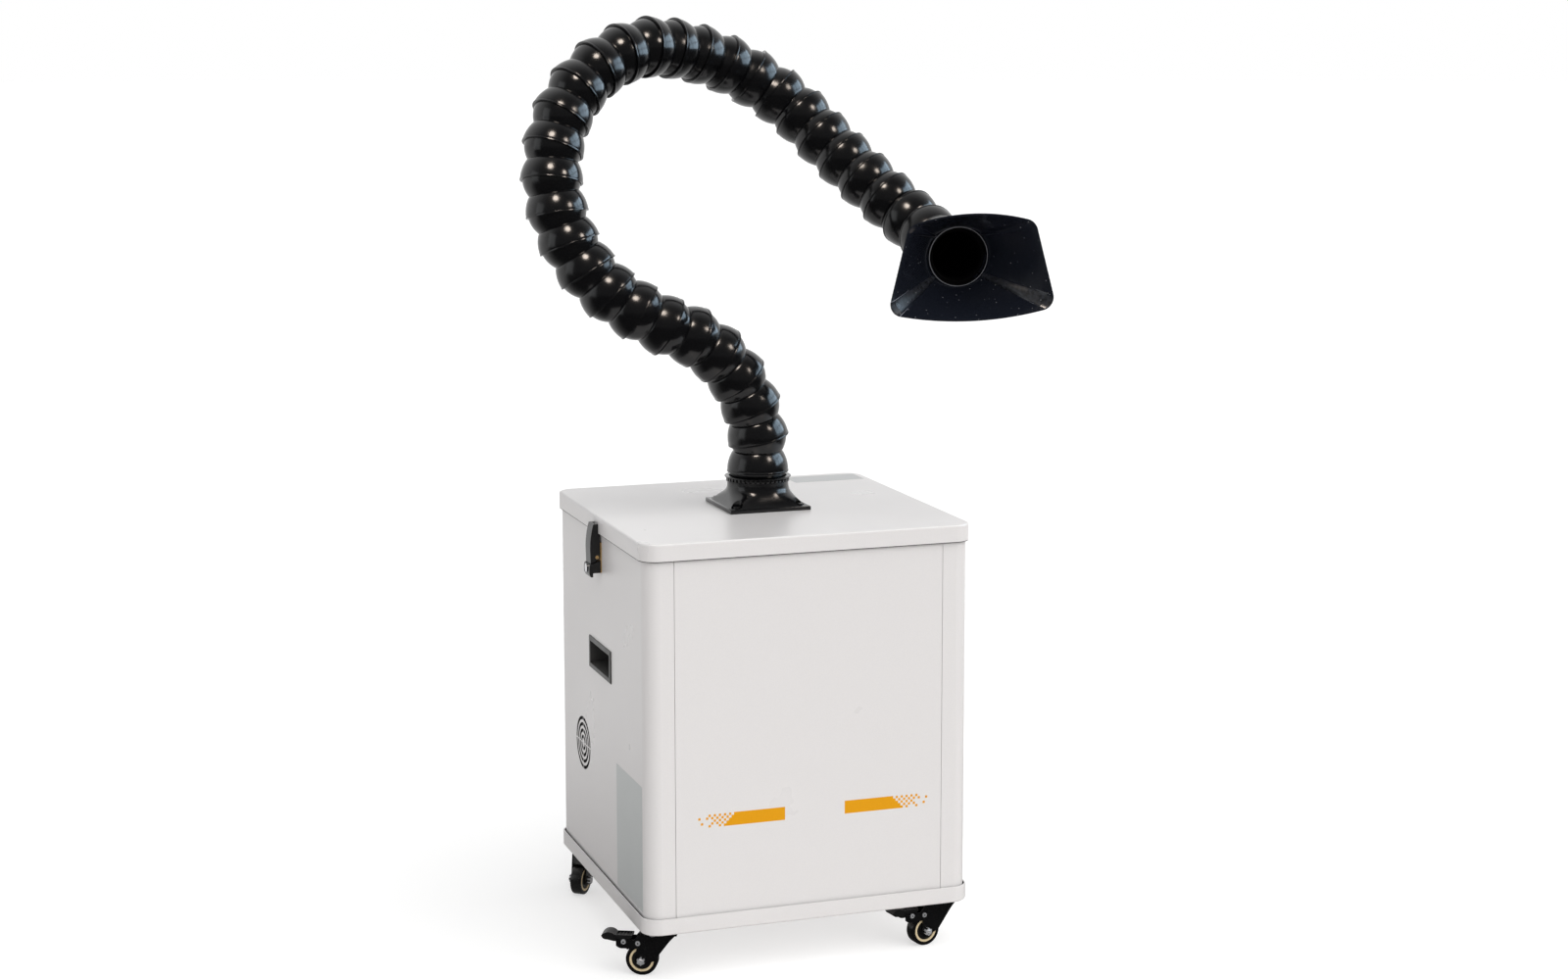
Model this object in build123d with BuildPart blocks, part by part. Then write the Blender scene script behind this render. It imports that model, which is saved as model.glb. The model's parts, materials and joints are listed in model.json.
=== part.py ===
"""Mobile fume purifier: a sheet metal filter cabinet on four casters, with a ball and socket extraction arm.

Millimetres, +Z up. Everything is placed about the cabinet's centre line, with the floor at z = 0.
The whole assembly is then shifted so that the origin is the bottom centre of its bounding box.
"""

import copy
import os
from math import atan2, cos, degrees, radians, sin, sqrt, tan

from build123d import *

os.makedirs("parts", exist_ok=True)

# Cabinet
cabinet_width = 430.0
cabinet_depth = 420.0
cabinet_height = 487.5
sheet = 1.5
lid_skirt = 21.5
pan_skirt = 20.5
body_inset = 3.7
corner_radius = 22.5
folded_edge_radius = 2.5
seam_gap = 0.6
seam_inset = 40.7
jamb_depth = 14.0
top_flange = 14.0
fit_gap = 0.3
running_gap = 0.05
overcut = 5.0

# Filters and deck
deck_height = 300.0
deck_flange = 20.0
filter_inset = 34.3
filter_frame_wall = 12.0
filter_lip = 3.0
carbon_thickness = 50.0
carbon_cell_count = 5
carbon_cell_wall = 6.0
carbon_cell_depth = 4.0
hepa_thickness = 90.0
pleat_count = 14
pleat_fold = 10.0
pre_filter_thickness = 20.0
pre_pad_thickness = 12.0
gasket_width = 9.0
gasket_thickness = 2.7

# Ring vents, handles and rear controls
vent_ring_count = 4
vent_radius = 35.0
vent_slot = 4.4
vent_pitch = 8.2
vent_rib = 1.6
side_vent_y = 92.0
side_vent_height = 228.0
handle_length = 104.0
handle_height = 42.0
handle_above_deck = 61.0
handle_centre_y = 1.0
handle_rim = 4.0
handle_rim_thickness = 1.6
handle_depth = 23.0
handle_wall = 2.0
handle_draft = 12.0
control_height = 132.0
inlet_x = -95.0
inlet_width = 31.0
inlet_height = 24.0
inlet_corner = 4.0
inlet_flange = 5.0
inlet_flange_thickness = 2.5
inlet_depth = 22.0
inlet_wall = 2.0
inlet_pin_length = 14.0
inlet_pin_width = 4.0
inlet_pin_thickness = 2.0
inlet_pin_spacing = 7.0
switch_x = -35.0
switch_width = 22.0
switch_height = 30.0
switch_bezel = 2.0
switch_bezel_thickness = 2.0
switch_depth = 18.0
rocker_thickness = 9.0
rocker_proud = 3.0
rocker_dip = 0.8
rocker_end_gap = 1.1
knob_x = 30.0
knob_radius = 14.0
knob_skirt_radius = 17.0
knob_skirt_thickness = 2.5
knob_height = 15.0
knob_flute_count = 12
knob_flute_radius = 2.0
knob_shaft_radius = 3.0
knob_shaft_length = 12.0

# Blower
scroll_radius = 92.0
scroll_height = 72.0
scroll_wall = 2.0
scroll_x = -12.0
outlet_width = 78.0
eye_radius = 58.0
motor_radius = 42.0
motor_length = 58.0
motor_flange_radius = 50.0
motor_flange_thickness = 4.0
impeller_radius = 76.0
impeller_height = 52.0
impeller_plate = 2.5
impeller_hub_radius = 14.0
blade_count = 9
blade_thickness = 2.0
blade_circle_radius = 56.0
blade_length = 38.0
blade_lean = 35.0
shroud_bore_radius = 54.0
shaft_radius = 5.0
shaft_length = 46.0

# Arm
arm_x = 2.0
arm_y = 4.0
knuckle_pitch = 41.25
ball_radius = 37.0
ball_wall = 2.4
ball_past_centre = 9.0
bell_radius = 40.2
bell_past_centre = 5.0
bell_mid_angle = 14.0
socket_cone_angle = 30.0
socket_gap = 0.3
neck_bore = 29.8
# Each stretch of the arm: how many knuckles, and how far each one bends to the left and to the front, in degrees
arm_bends = [
    (5, 13.5, 1.0),
    (2, -6.0, -7.0),
    (4, -12.0, -1.5),
    (5, -12.5, -5.0),
    (2, -11.0, -9.5),
    (3, -9.5, 0.5),
    (3, -13.5, 4.0),
    (4, -0.5, 2.0),
    (3, -14.0, 12.0),
]
first_section_count = 2
section_count = 3

# Flange
flange_side = 108.0
flange_corner = 4.0
flange_plate = 5.0
flange_flare_height = 28.0
flange_flare_foot = 66.0
flange_neck_radius = 39.5
flange_neck_height = 17.5
flare_sag_share = 0.3
flange_screw_inset = 12.0
flange_screw_radius = 2.5
flange_screw_head_radius = 4.6
flange_screw_head_height = 2.8
flange_screw_reach = 8.0
screw_pocket_radius = 7.5
clamp_ring_radius = 43.0
clamp_ring_height = 7.0
clamp_notch_count = 16
clamp_notch_depth = 1.2
clamp_notch_width = 3.0

# Hood
hood_depth = 80.0
hood_wall = 2.2
collar_shoulder_angle = 29.0
spigot_radius = 33.6
spigot_wall = 2.0
spigot_end = 34.0
hood_sleeve_gap = 0.1
hood_sleeve_wall = 3.0
throat_start = 32.0
throat_top_angle = 47.0
throat_bottom_angle = 43.0
throat_crease = 5.0
mouth_top_half = 80.0
mouth_top_crown = 64.7
mouth_top_slope = 16.0
mouth_top_corner = 9.5
mouth_bottom_half = 107.0
mouth_bottom_crown = 69.0
mouth_bottom_slope = 12.0
mouth_bottom_corner = 17.0
corner_share = 0.4142
hood_roll = 1.6

# Casters
caster_height = 60.0
swivel_side_inset = 30.0
swivel_end_inset = 33.0
caster_trail = 24.0
wheel_radius = 20.0
wheel_width = 15.0
tyre_depth = 4.6
tyre_edge = 1.5
hub_rim = 3.0
hub_boss_radius = 7.0
hub_web = 5.0
axle_radius = 3.0
caster_plate_length = 42.0
caster_plate_width = 38.0
caster_plate_thickness = 2.0
race_radius = 14.0
race_height = 3.0
kingpin_radius = 4.0
fork_sheet = 2.0
fork_side_gap = 1.5
fork_back = 20.5
fork_front = 27.0
fork_foot_radius = 7.5
fork_flare_back = 14.5
fork_flare_drop = 11.2
fork_waist_back = 9.5
fork_waist_drop = 17.0
fork_heel = 7.5
kingpin_head_radius = 6.5
kingpin_head_height = 2.0
axle_head_radius = 5.3
axle_head_height = 4.5
caster_bolt_radius = 2.5
caster_bolt_head_radius = 4.0
caster_bolt_inset = 5.5
rivet_radius = 2.4
rivet_head_radius = 3.1
rivet_head_height = 0.8
brake_pivot_x = 46.0
brake_pivot_drop = 16.8
brake_rivet_x = 28.0
brake_rivet_drop = 18.2
bracket_start = 33.0
bracket_end = 55.3
bracket_top_drop = 14.3
bracket_end_drop = 22.0
bracket_curve_x = 48.0
bracket_bottom_drop = 25.2
pedal_lug_radius = 5.0
pedal_rear_x = 35.5
pedal_rear_drop = 11.5
pedal_top_drop = 9.0
pedal_tip_start = 57.0
pedal_crest_x = 67.0
pedal_crest_drop = 5.8
pedal_tip = 74.0
pedal_tip_drop = 10.2
pedal_chin_x = 72.0
pedal_chin_drop = 13.4
pedal_under_x = 67.0
pedal_under_drop = 14.8
pedal_root_drop = 16.8
pedal_tip_width = 20.0
pedal_rim = 1.5
pedal_channel_depth = 1.0
pedal_pocket_depth = 2.0
pedal_pocket_count = 5
pedal_rib = 1.2
brake_travel = 12.0
brake_shoe_width = 4.0

# The direction in which each caster trails, in degrees about the vertical from +X
caster_turns = {"front_left": 154.0, "front_right": 189.0, "rear_left": 231.5, "rear_right": 120.0}

# Toggle latches, measured outward from the side panel and up from the floor
latch_y = 3.0
latch_plate_thickness = 1.6
latch_plate_width = 25.0
latch_plate_rise = 18.5
latch_ear_gap = 10.0
latch_ear_thickness = 2.0
latch_ear_radius = 3.0
latch_pin_out = 5.5
latch_pin_drop = 30.5
latch_pin_radius = 2.4
lever_width = 22.6
lever_wall = 2.0
lever_inner_out = 1.9
lever_hub_radius = 3.5
lever_heel_out = 14.1
lever_heel_drop = 9.0
lever_bulge_out = 14.6
lever_bulge_share = 0.27
lever_upper_out = 13.4
lever_upper_share = 0.647
lever_top_out = 10.2
lever_over_lid = 12.0
lever_nose_out = 6.6
lever_lid_gap = 0.8
lever_skirt_gap = 0.4
latch_block_width = 26.4
latch_block_wall = 1.6
latch_block_out = 16.4
latch_block_outer_drop = 9.5
latch_block_inner_drop = 4.5
latch_block_top_out = 15.9
latch_tab_side_drop = 21.0
latch_block_drop = 20.0
latch_tab_drop = 25.0
latch_tab_out = 11.5
latch_tab_tip_out = 14.5
lock_radius = 5.5
lock_drop = 14.5
lock_proud = 1.2
keeper_width = 13.0
keeper_above_skirt = 2.0
keeper_height = 7.0
keeper_out = 1.6
keeper_lip = 2.6
keeper_lip_height = 2.0

# Screws
hexagon_sides = 6
panel_screw_radius = 2.0
panel_screw_head_radius = 3.6
panel_screw_head_height = 2.4
panel_screw_length = 7.0
panel_screw_share = 0.35

# Levels worked out from the sizes above
pan_bottom_z = caster_height
pan_floor_z = pan_bottom_z + sheet
lid_top_z = pan_bottom_z + cabinet_height
lid_bottom_z = lid_top_z - lid_skirt
body_width = cabinet_width - 2 * body_inset
body_depth = cabinet_depth - 2 * body_inset
body_corner = corner_radius - body_inset
body_top_z = lid_top_z - sheet - gasket_thickness - fit_gap
body_height = body_top_z - pan_floor_z
side_face = body_width / 2
rear_face = body_depth / 2
front_panel_width = cabinet_width - 2 * seam_inset
filter_side = min(body_width, body_depth) - 2 * filter_inset
swivel_x = cabinet_width / 2 - swivel_side_inset
swivel_y = cabinet_depth / 2 - swivel_end_inset
seam_x = front_panel_width / 2 + seam_gap
latch_pin_z = lid_bottom_z - latch_pin_drop
lever_top_z = lid_bottom_z + lever_over_lid
lever_step_z = lid_bottom_z - lever_lid_gap
lever_length = lever_top_z - latch_pin_z
lever_step_out = body_inset + lever_skirt_gap
latch_block_bottom_z = latch_pin_z - latch_block_drop
keeper_bottom_z = lid_bottom_z + keeper_above_skirt
shelf_z = deck_height
handle_z = deck_height + handle_above_deck
scroll_top_z = shelf_z - sheet
scroll_bottom_z = scroll_top_z - scroll_height

pieces = []


def keep(builder, name):
    """Name a finished piece and keep it for export."""
    builder.part.label = name
    pieces.append(builder.part)


# Lower tray that carries the casters
caster_bolt_x = caster_plate_length / 2 - caster_bolt_inset
caster_bolt_y = caster_plate_width / 2 - caster_bolt_inset
caster_places = {
    "front_left": (-swivel_x, -swivel_y),
    "front_right": (swivel_x, -swivel_y),
    "rear_left": (-swivel_x, swivel_y),
    "rear_right": (swivel_x, swivel_y),
}
with BuildPart() as base_pan:
    with BuildSketch(Plane.XY.offset(pan_bottom_z)):
        RectangleRounded(cabinet_width, cabinet_depth, corner_radius)
    extrude(amount=pan_skirt)
    fillet(base_pan.edges().group_by(Axis.Z)[0], folded_edge_radius)
    with BuildSketch(Plane.XY.offset(pan_floor_z)):
        RectangleRounded(cabinet_width - 2 * sheet, cabinet_depth - 2 * sheet, corner_radius - sheet)
    extrude(amount=pan_skirt, mode=Mode.SUBTRACT)
    with BuildSketch(Plane.XY.offset(pan_bottom_z)):
        with Locations(*caster_places.values()):
            with GridLocations(2 * caster_bolt_x, 2 * caster_bolt_y, 2, 2):
                Circle(caster_bolt_radius + running_gap)
    extrude(amount=sheet, mode=Mode.SUBTRACT)
keep(base_pan, "base_pan")


def ring_slots():
    """Concentric slots crossed by a vertical and a horizontal rib, as punched in a vent."""
    for ring in range(vent_ring_count):
        Circle(vent_radius - ring * vent_pitch)
        Circle(vent_radius - ring * vent_pitch - vent_slot, mode=Mode.SUBTRACT)
    Rectangle(2 * vent_radius, vent_rib, mode=Mode.SUBTRACT)
    Rectangle(vent_rib, 2 * vent_radius, mode=Mode.SUBTRACT)


jamb_screw_places = [
    (end * (rear_face - jamb_depth / 2), pan_floor_z + share * body_height)
    for end in (-1, 1)
    for share in (panel_screw_share, 1 - panel_screw_share)
]


def side_panel(side):
    """A side of the cabinet: it wraps both corners and ends in a folded jamb at each seam."""
    kept_middle = side * (seam_x + side_face) / 2
    kept_width = side_face - seam_x + overcut
    jamb_x = side * (seam_x + sheet / 2)
    with BuildPart() as panel:
        with BuildSketch(Plane.XY.offset(pan_floor_z)):
            RectangleRounded(body_width, body_depth, body_corner)
            RectangleRounded(body_width - 2 * sheet, body_depth - 2 * sheet, body_corner - sheet, mode=Mode.SUBTRACT)
            with Locations((kept_middle + side * overcut / 2, 0)):
                Rectangle(kept_width, body_depth + overcut, mode=Mode.INTERSECT)
            for end in (-1, 1):
                with Locations((jamb_x, end * (rear_face - jamb_depth / 2))):
                    Rectangle(sheet, jamb_depth)
        extrude(amount=body_height)
        with BuildSketch(Plane.XY.offset(body_top_z - sheet)):
            RectangleRounded(body_width, body_depth, body_corner)
            Rectangle(body_width - 2 * top_flange, body_depth - 2 * top_flange, mode=Mode.SUBTRACT)
            with Locations((kept_middle + side * overcut / 2, 0)):
                Rectangle(kept_width, body_depth + overcut, mode=Mode.INTERSECT)
        extrude(amount=sheet)
        with BuildSketch(Plane.YZ.offset(side * side_face)):
            with Locations((side_vent_y, side_vent_height)):
                ring_slots()
            with Locations((handle_centre_y, handle_z)):
                Rectangle(handle_length - 2 * handle_rim, handle_height - 2 * handle_rim)
        extrude(amount=overcut, both=True, mode=Mode.SUBTRACT)
        with BuildSketch(Plane.YZ.offset(side * seam_x)):
            with Locations(*jamb_screw_places):
                Circle(panel_screw_radius + running_gap)
        extrude(amount=2 * sheet + seam_gap, both=True, mode=Mode.SUBTRACT)
    return panel


keep(side_panel(-1), "left_side_panel")
keep(side_panel(1), "right_side_panel")


scroll_outlet_x = scroll_x + scroll_radius - outlet_width / 2
rear_plane = Plane.XZ.offset(-rear_face)


def end_panel(end):
    """A flat panel between the two side panels, folded back along its sides and its top.
    The rear one also has the exhaust vent and the holes of the controls."""
    face_y = end * (rear_face - sheet / 2)
    flange_y = end * (rear_face - jamb_depth / 2)
    flange_x = front_panel_width / 2 - sheet / 2
    with BuildPart() as panel:
        with BuildSketch(Plane.XY.offset(pan_floor_z)):
            with Locations((0, face_y)):
                Rectangle(front_panel_width, sheet)
            with Locations((-flange_x, flange_y), (flange_x, flange_y)):
                Rectangle(sheet, jamb_depth)
        extrude(amount=body_height)
        with BuildSketch(Plane.XY.offset(body_top_z - sheet)):
            with Locations((0, end * (rear_face - top_flange / 2))):
                Rectangle(front_panel_width, top_flange)
        extrude(amount=sheet)
        with BuildSketch(Plane.YZ):
            with Locations(*jamb_screw_places):
                Circle(panel_screw_radius + running_gap)
        extrude(amount=seam_x, both=True, mode=Mode.SUBTRACT)
        if end > 0:
            with BuildSketch(rear_plane):
                with Locations((scroll_outlet_x, (scroll_top_z + scroll_bottom_z) / 2)):
                    ring_slots()
                with Locations((inlet_x, control_height)):
                    RectangleRounded(inlet_width, inlet_height, inlet_corner)
                with Locations((switch_x, control_height)):
                    Rectangle(switch_width, switch_height)
                with Locations((knob_x, control_height)):
                    Circle(knob_shaft_radius + running_gap)
            extrude(amount=overcut, both=True, mode=Mode.SUBTRACT)
    return panel


keep(end_panel(-1), "front_panel")
keep(end_panel(1), "rear_panel")

# Screws that join the jambs of the side panels to the folded sides of the end panels
with BuildPart() as panel_screws:
    for side in (-1, 1):
        head_plane = Plane.YZ.offset(side * (seam_x + sheet))
        with BuildSketch(head_plane):
            with Locations(*jamb_screw_places):
                RegularPolygon(panel_screw_head_radius, hexagon_sides)
        extrude(amount=side * panel_screw_head_height)
        with BuildSketch(head_plane):
            with Locations(*jamb_screw_places):
                Circle(panel_screw_radius)
        extrude(amount=-side * panel_screw_length)
keep(panel_screws, "panel_screws")

# Lid with its air inlet under the arm
with BuildPart() as lid:
    with BuildSketch(Plane.XY.offset(lid_bottom_z)):
        RectangleRounded(cabinet_width, cabinet_depth, corner_radius)
    extrude(amount=lid_skirt)
    fillet(lid.edges().group_by(Axis.Z)[-1], folded_edge_radius)
    with BuildSketch(Plane.XY.offset(lid_bottom_z)):
        RectangleRounded(cabinet_width - 2 * sheet, cabinet_depth - 2 * sheet, corner_radius - sheet)
    extrude(amount=lid_skirt - sheet, mode=Mode.SUBTRACT)
    with BuildSketch(Plane.XY.offset(lid_top_z)):
        with Locations((arm_x, arm_y)):
            Circle(neck_bore)
            with GridLocations(flange_side - 2 * flange_screw_inset, flange_side - 2 * flange_screw_inset, 2, 2):
                Circle(flange_screw_radius + running_gap)
    extrude(amount=-sheet, mode=Mode.SUBTRACT)
keep(lid, "lid")

with BuildPart() as lid_gasket:
    with BuildSketch(Plane.XY.offset(body_top_z + fit_gap)):
        RectangleRounded(body_width - 2 * sheet, body_depth - 2 * sheet, body_corner - sheet)
        Rectangle(
            body_width - 2 * sheet - 2 * gasket_width,
            body_depth - 2 * sheet - 2 * gasket_width,
            mode=Mode.SUBTRACT,
        )
    extrude(amount=gasket_thickness)
keep(lid_gasket, "lid_gasket")

# Deck that carries the filters over the blower
deck_width = body_width - 2 * sheet
deck_depth = body_depth - 2 * jamb_depth - 2 * fit_gap
with BuildPart() as motor_deck:
    with BuildSketch(Plane.XY.offset(shelf_z - deck_flange)):
        RectangleRounded(deck_width, deck_depth, body_corner)
    extrude(amount=deck_flange)
    with BuildSketch(Plane.XY.offset(shelf_z - deck_flange)):
        RectangleRounded(deck_width - 2 * sheet, deck_depth - 2 * sheet, body_corner - sheet)
    extrude(amount=deck_flange - sheet, mode=Mode.SUBTRACT)
    with BuildSketch(Plane.XY.offset(shelf_z)):
        with Locations((scroll_x, 0)):
            Circle(eye_radius)
    extrude(amount=-sheet, mode=Mode.SUBTRACT)
    with BuildSketch(Plane.XY.offset(shelf_z - deck_flange)):
        with Locations((scroll_outlet_x, rear_face / 2)):
            Rectangle(outlet_width + 2 * fit_gap, rear_face)
    extrude(amount=deck_flange - sheet, mode=Mode.SUBTRACT)
keep(motor_deck, "motor_deck")

# Activated carbon tray: granules in a grid of cells, a little below its rims
carbon_cell = (filter_side - 2 * filter_frame_wall - (carbon_cell_count - 1) * carbon_cell_wall) / carbon_cell_count
with BuildPart() as carbon_filter:
    with BuildSketch(Plane.XY.offset(shelf_z)):
        Rectangle(filter_side, filter_side)
        with GridLocations(
            carbon_cell + carbon_cell_wall, carbon_cell + carbon_cell_wall, carbon_cell_count, carbon_cell_count
        ):
            Rectangle(carbon_cell, carbon_cell, mode=Mode.SUBTRACT)
    extrude(amount=carbon_thickness)
    with BuildSketch(Plane.XY.offset(shelf_z + carbon_cell_depth)):
        Rectangle(filter_side, filter_side)
    extrude(amount=carbon_thickness - 2 * carbon_cell_depth)
keep(carbon_filter, "carbon_filter")

# Pleated particle filter: a frame round a dense paper pack whose folds show on both faces
hepa_z = shelf_z + carbon_thickness
pack_side = filter_side - 2 * filter_frame_wall
pleat_pitch = pack_side / pleat_count
pleat_low_z = hepa_z + filter_lip
pleat_high_z = hepa_z + hepa_thickness - filter_lip
with BuildPart() as hepa_filter:
    with BuildSketch(Plane.XY.offset(hepa_z)):
        Rectangle(filter_side, filter_side)
        Rectangle(pack_side, pack_side, mode=Mode.SUBTRACT)
    extrude(amount=hepa_thickness)
    with BuildSketch(Plane.XZ):
        with BuildLine():
            lower_folds = []
            upper_folds = []
            for fold in range(2 * pleat_count + 1):
                fold_x = -pack_side / 2 + fold * pleat_pitch / 2
                fold_rise = pleat_fold * (fold % 2)
                lower_folds.append((fold_x, pleat_low_z + fold_rise))
                upper_folds.append((fold_x, pleat_high_z - pleat_fold + fold_rise))
            Polyline(*lower_folds, *reversed(upper_folds), close=True)
        make_face()
    extrude(amount=pack_side / 2 - fit_gap, both=True)
keep(hepa_filter, "hepa_filter")

# Coarse pre-filter: a frame round a pad
pre_z = hepa_z + hepa_thickness
with BuildPart() as pre_filter:
    with BuildSketch(Plane.XY.offset(pre_z)):
        Rectangle(filter_side, filter_side)
        Rectangle(pack_side, pack_side, mode=Mode.SUBTRACT)
    extrude(amount=pre_filter_thickness)
    with BuildSketch(Plane.XY.offset(pre_z + filter_lip)):
        Rectangle(pack_side - 2 * fit_gap, pack_side - 2 * fit_gap)
    extrude(amount=pre_pad_thickness)
keep(pre_filter, "pre_filter")


def handle_cup(side):
    """Recessed carrying handle: a bevelled rim on the panel and a drafted cup behind it."""
    cup_length = handle_length - 2 * handle_rim - 2 * fit_gap
    cup_height = handle_height - 2 * handle_rim - 2 * fit_gap
    face = Plane(origin=(side * side_face, handle_centre_y, handle_z), x_dir=(0, side, 0), z_dir=(side, 0, 0))
    with BuildPart() as cup:
        with BuildSketch(face):
            Rectangle(handle_length, handle_height)
        extrude(amount=handle_rim_thickness)
        chamfer(cup.faces().sort_by(Axis.X)[-1 if side > 0 else 0].edges(), handle_rim_thickness / 2)
        with BuildSketch(face):
            Rectangle(cup_length, cup_height)
        extrude(amount=-handle_depth, taper=handle_draft)
        with BuildSketch(face.offset(handle_rim_thickness)):
            Rectangle(cup_length - 2 * handle_wall, cup_height - 2 * handle_wall)
        extrude(amount=-handle_depth - handle_rim_thickness + handle_wall, taper=handle_draft, mode=Mode.SUBTRACT)
    return cup


keep(handle_cup(-1), "left_handle_cup")
keep(handle_cup(1), "right_handle_cup")

# Blower scroll under the deck, with its outlet behind the rear vent
outlet_end_y = rear_face - sheet - fit_gap
outlet_wall_x = outlet_width - 2 * scroll_wall
with BuildPart() as blower_housing:
    with BuildSketch(Plane.XY.offset(scroll_bottom_z)):
        with Locations((scroll_x, 0)):
            Circle(scroll_radius)
        with Locations((scroll_outlet_x, outlet_end_y / 2)):
            Rectangle(outlet_width, outlet_end_y)
    extrude(amount=scroll_height)
    with BuildSketch(Plane.XY.offset(scroll_bottom_z + scroll_wall)):
        with Locations((scroll_x, 0)):
            Circle(scroll_radius - scroll_wall)
        with Locations((scroll_outlet_x, (outlet_end_y + overcut) / 2)):
            Rectangle(outlet_wall_x, outlet_end_y + overcut)
    extrude(amount=scroll_height - 2 * scroll_wall, mode=Mode.SUBTRACT)
    with BuildSketch(Plane.XY.offset(scroll_top_z)):
        with Locations((scroll_x, 0)):
            Circle(eye_radius)
    extrude(amount=-scroll_wall, mode=Mode.SUBTRACT)
    with BuildSketch(Plane.XY.offset(scroll_bottom_z)):
        with Locations((scroll_x, 0)):
            Circle(impeller_hub_radius)
    extrude(amount=scroll_wall, mode=Mode.SUBTRACT)
keep(blower_housing, "blower_housing")

with BuildPart() as blower_motor:
    with BuildSketch(Plane.XY.offset(scroll_bottom_z)):
        with Locations((scroll_x, 0)):
            Circle(motor_flange_radius)
    extrude(amount=-motor_flange_thickness)
    with BuildSketch(Plane.XY.offset(scroll_bottom_z - motor_flange_thickness)):
        with Locations((scroll_x, 0)):
            Circle(motor_radius)
    extrude(amount=-motor_length)
    fillet(blower_motor.edges().group_by(Axis.Z)[0], motor_flange_thickness)
    with BuildSketch(Plane.XY.offset(scroll_bottom_z)):
        with Locations((scroll_x, 0)):
            Circle(shaft_radius + running_gap)
    extrude(amount=-motor_length, mode=Mode.SUBTRACT)
keep(blower_motor, "blower_motor")

impeller_z = scroll_bottom_z + scroll_wall + (scroll_height - 2 * scroll_wall - impeller_height) / 2
# Impeller with its shaft: back plate, hub, backward leaning blades and a shroud ring round the eye
with BuildPart() as blower_impeller:
    with BuildSketch(Plane.XY.offset(impeller_z)):
        with Locations((scroll_x, 0)):
            Circle(impeller_radius)
    extrude(amount=impeller_plate)
    with BuildSketch(Plane.XY.offset(impeller_z)):
        with Locations((scroll_x, 0)):
            Circle(impeller_hub_radius)
    extrude(amount=impeller_height / 2)
    with BuildSketch(Plane.XY.offset(impeller_z)):
        with Locations((scroll_x, 0)):
            with PolarLocations(blade_circle_radius, blade_count):
                Rectangle(blade_length, blade_thickness, rotation=blade_lean)
    extrude(amount=impeller_height)
    with BuildSketch(Plane.XY.offset(impeller_z + impeller_height - impeller_plate)):
        with Locations((scroll_x, 0)):
            Circle(impeller_radius)
            Circle(shroud_bore_radius, mode=Mode.SUBTRACT)
    extrude(amount=impeller_plate)
    with BuildSketch(Plane.XY.offset(impeller_z)):
        with Locations((scroll_x, 0)):
            Circle(shaft_radius)
    extrude(amount=-shaft_length)
keep(blower_impeller, "blower_impeller")

# Mains inlet: flanged cup with three flat pins
with BuildPart() as power_inlet:
    with BuildSketch(rear_plane):
        with Locations((inlet_x, control_height)):
            RectangleRounded(inlet_width + 2 * inlet_flange, inlet_height + 2 * inlet_flange, inlet_corner)
    extrude(amount=-inlet_flange_thickness)
    with BuildSketch(rear_plane):
        with Locations((inlet_x, control_height)):
            RectangleRounded(inlet_width - 2 * fit_gap, inlet_height - 2 * fit_gap, inlet_corner - fit_gap)
    extrude(amount=inlet_depth)
    with BuildSketch(rear_plane.offset(-inlet_flange_thickness)):
        with Locations((inlet_x, control_height)):
            RectangleRounded(
                inlet_width - 2 * fit_gap - 2 * inlet_wall,
                inlet_height - 2 * fit_gap - 2 * inlet_wall,
                inlet_corner - inlet_wall,
            )
    extrude(amount=inlet_depth + inlet_flange_thickness - inlet_wall, mode=Mode.SUBTRACT)
    with BuildSketch(rear_plane.offset(inlet_depth - inlet_wall)):
        with Locations(
            (inlet_x - inlet_pin_spacing, control_height),
            (inlet_x, control_height + inlet_pin_width),
            (inlet_x + inlet_pin_spacing, control_height),
        ):
            Rectangle(inlet_pin_thickness, inlet_pin_width)
    extrude(amount=-inlet_pin_length)
keep(power_inlet, "power_inlet")

# Rocker switch: a bezelled frame and the rocker that tips in it
rocker_radius = sqrt((switch_height / 2 - switch_bezel) ** 2 + rocker_proud**2)
with BuildPart() as switch_frame:
    with BuildSketch(rear_plane):
        with Locations((switch_x, control_height)):
            Rectangle(switch_width + 2 * switch_bezel, switch_height + 2 * switch_bezel)
    extrude(amount=-switch_bezel_thickness)
    with BuildSketch(rear_plane):
        with Locations((switch_x, control_height)):
            Rectangle(switch_width - 2 * fit_gap, switch_height - 2 * fit_gap)
    extrude(amount=switch_depth)
    with BuildSketch(rear_plane.offset(-switch_bezel_thickness)):
        with Locations((switch_x, control_height)):
            Rectangle(switch_width - 2 * switch_bezel, switch_height - 2 * switch_bezel)
    extrude(amount=switch_depth + switch_bezel_thickness - switch_bezel, mode=Mode.SUBTRACT)
keep(switch_frame, "switch_frame")

rocker_half = switch_height / 2 - switch_bezel - rocker_end_gap
with BuildPart() as switch_rocker:
    with BuildSketch(Plane.YZ.offset(switch_x)):
        with BuildLine():
            Polyline(
                (rear_face + rocker_proud, control_height + rocker_half),
                (rear_face + rocker_dip, control_height),
                (rear_face + rocker_proud, control_height - rocker_half),
                (rear_face - rocker_thickness, control_height - rocker_half / 2),
                (rear_face - rocker_thickness, control_height + rocker_half / 2),
                close=True,
            )
        make_face()
    extrude(amount=switch_width / 2 - switch_bezel - fit_gap, both=True)
keep(switch_rocker, "switch_rocker")

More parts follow.
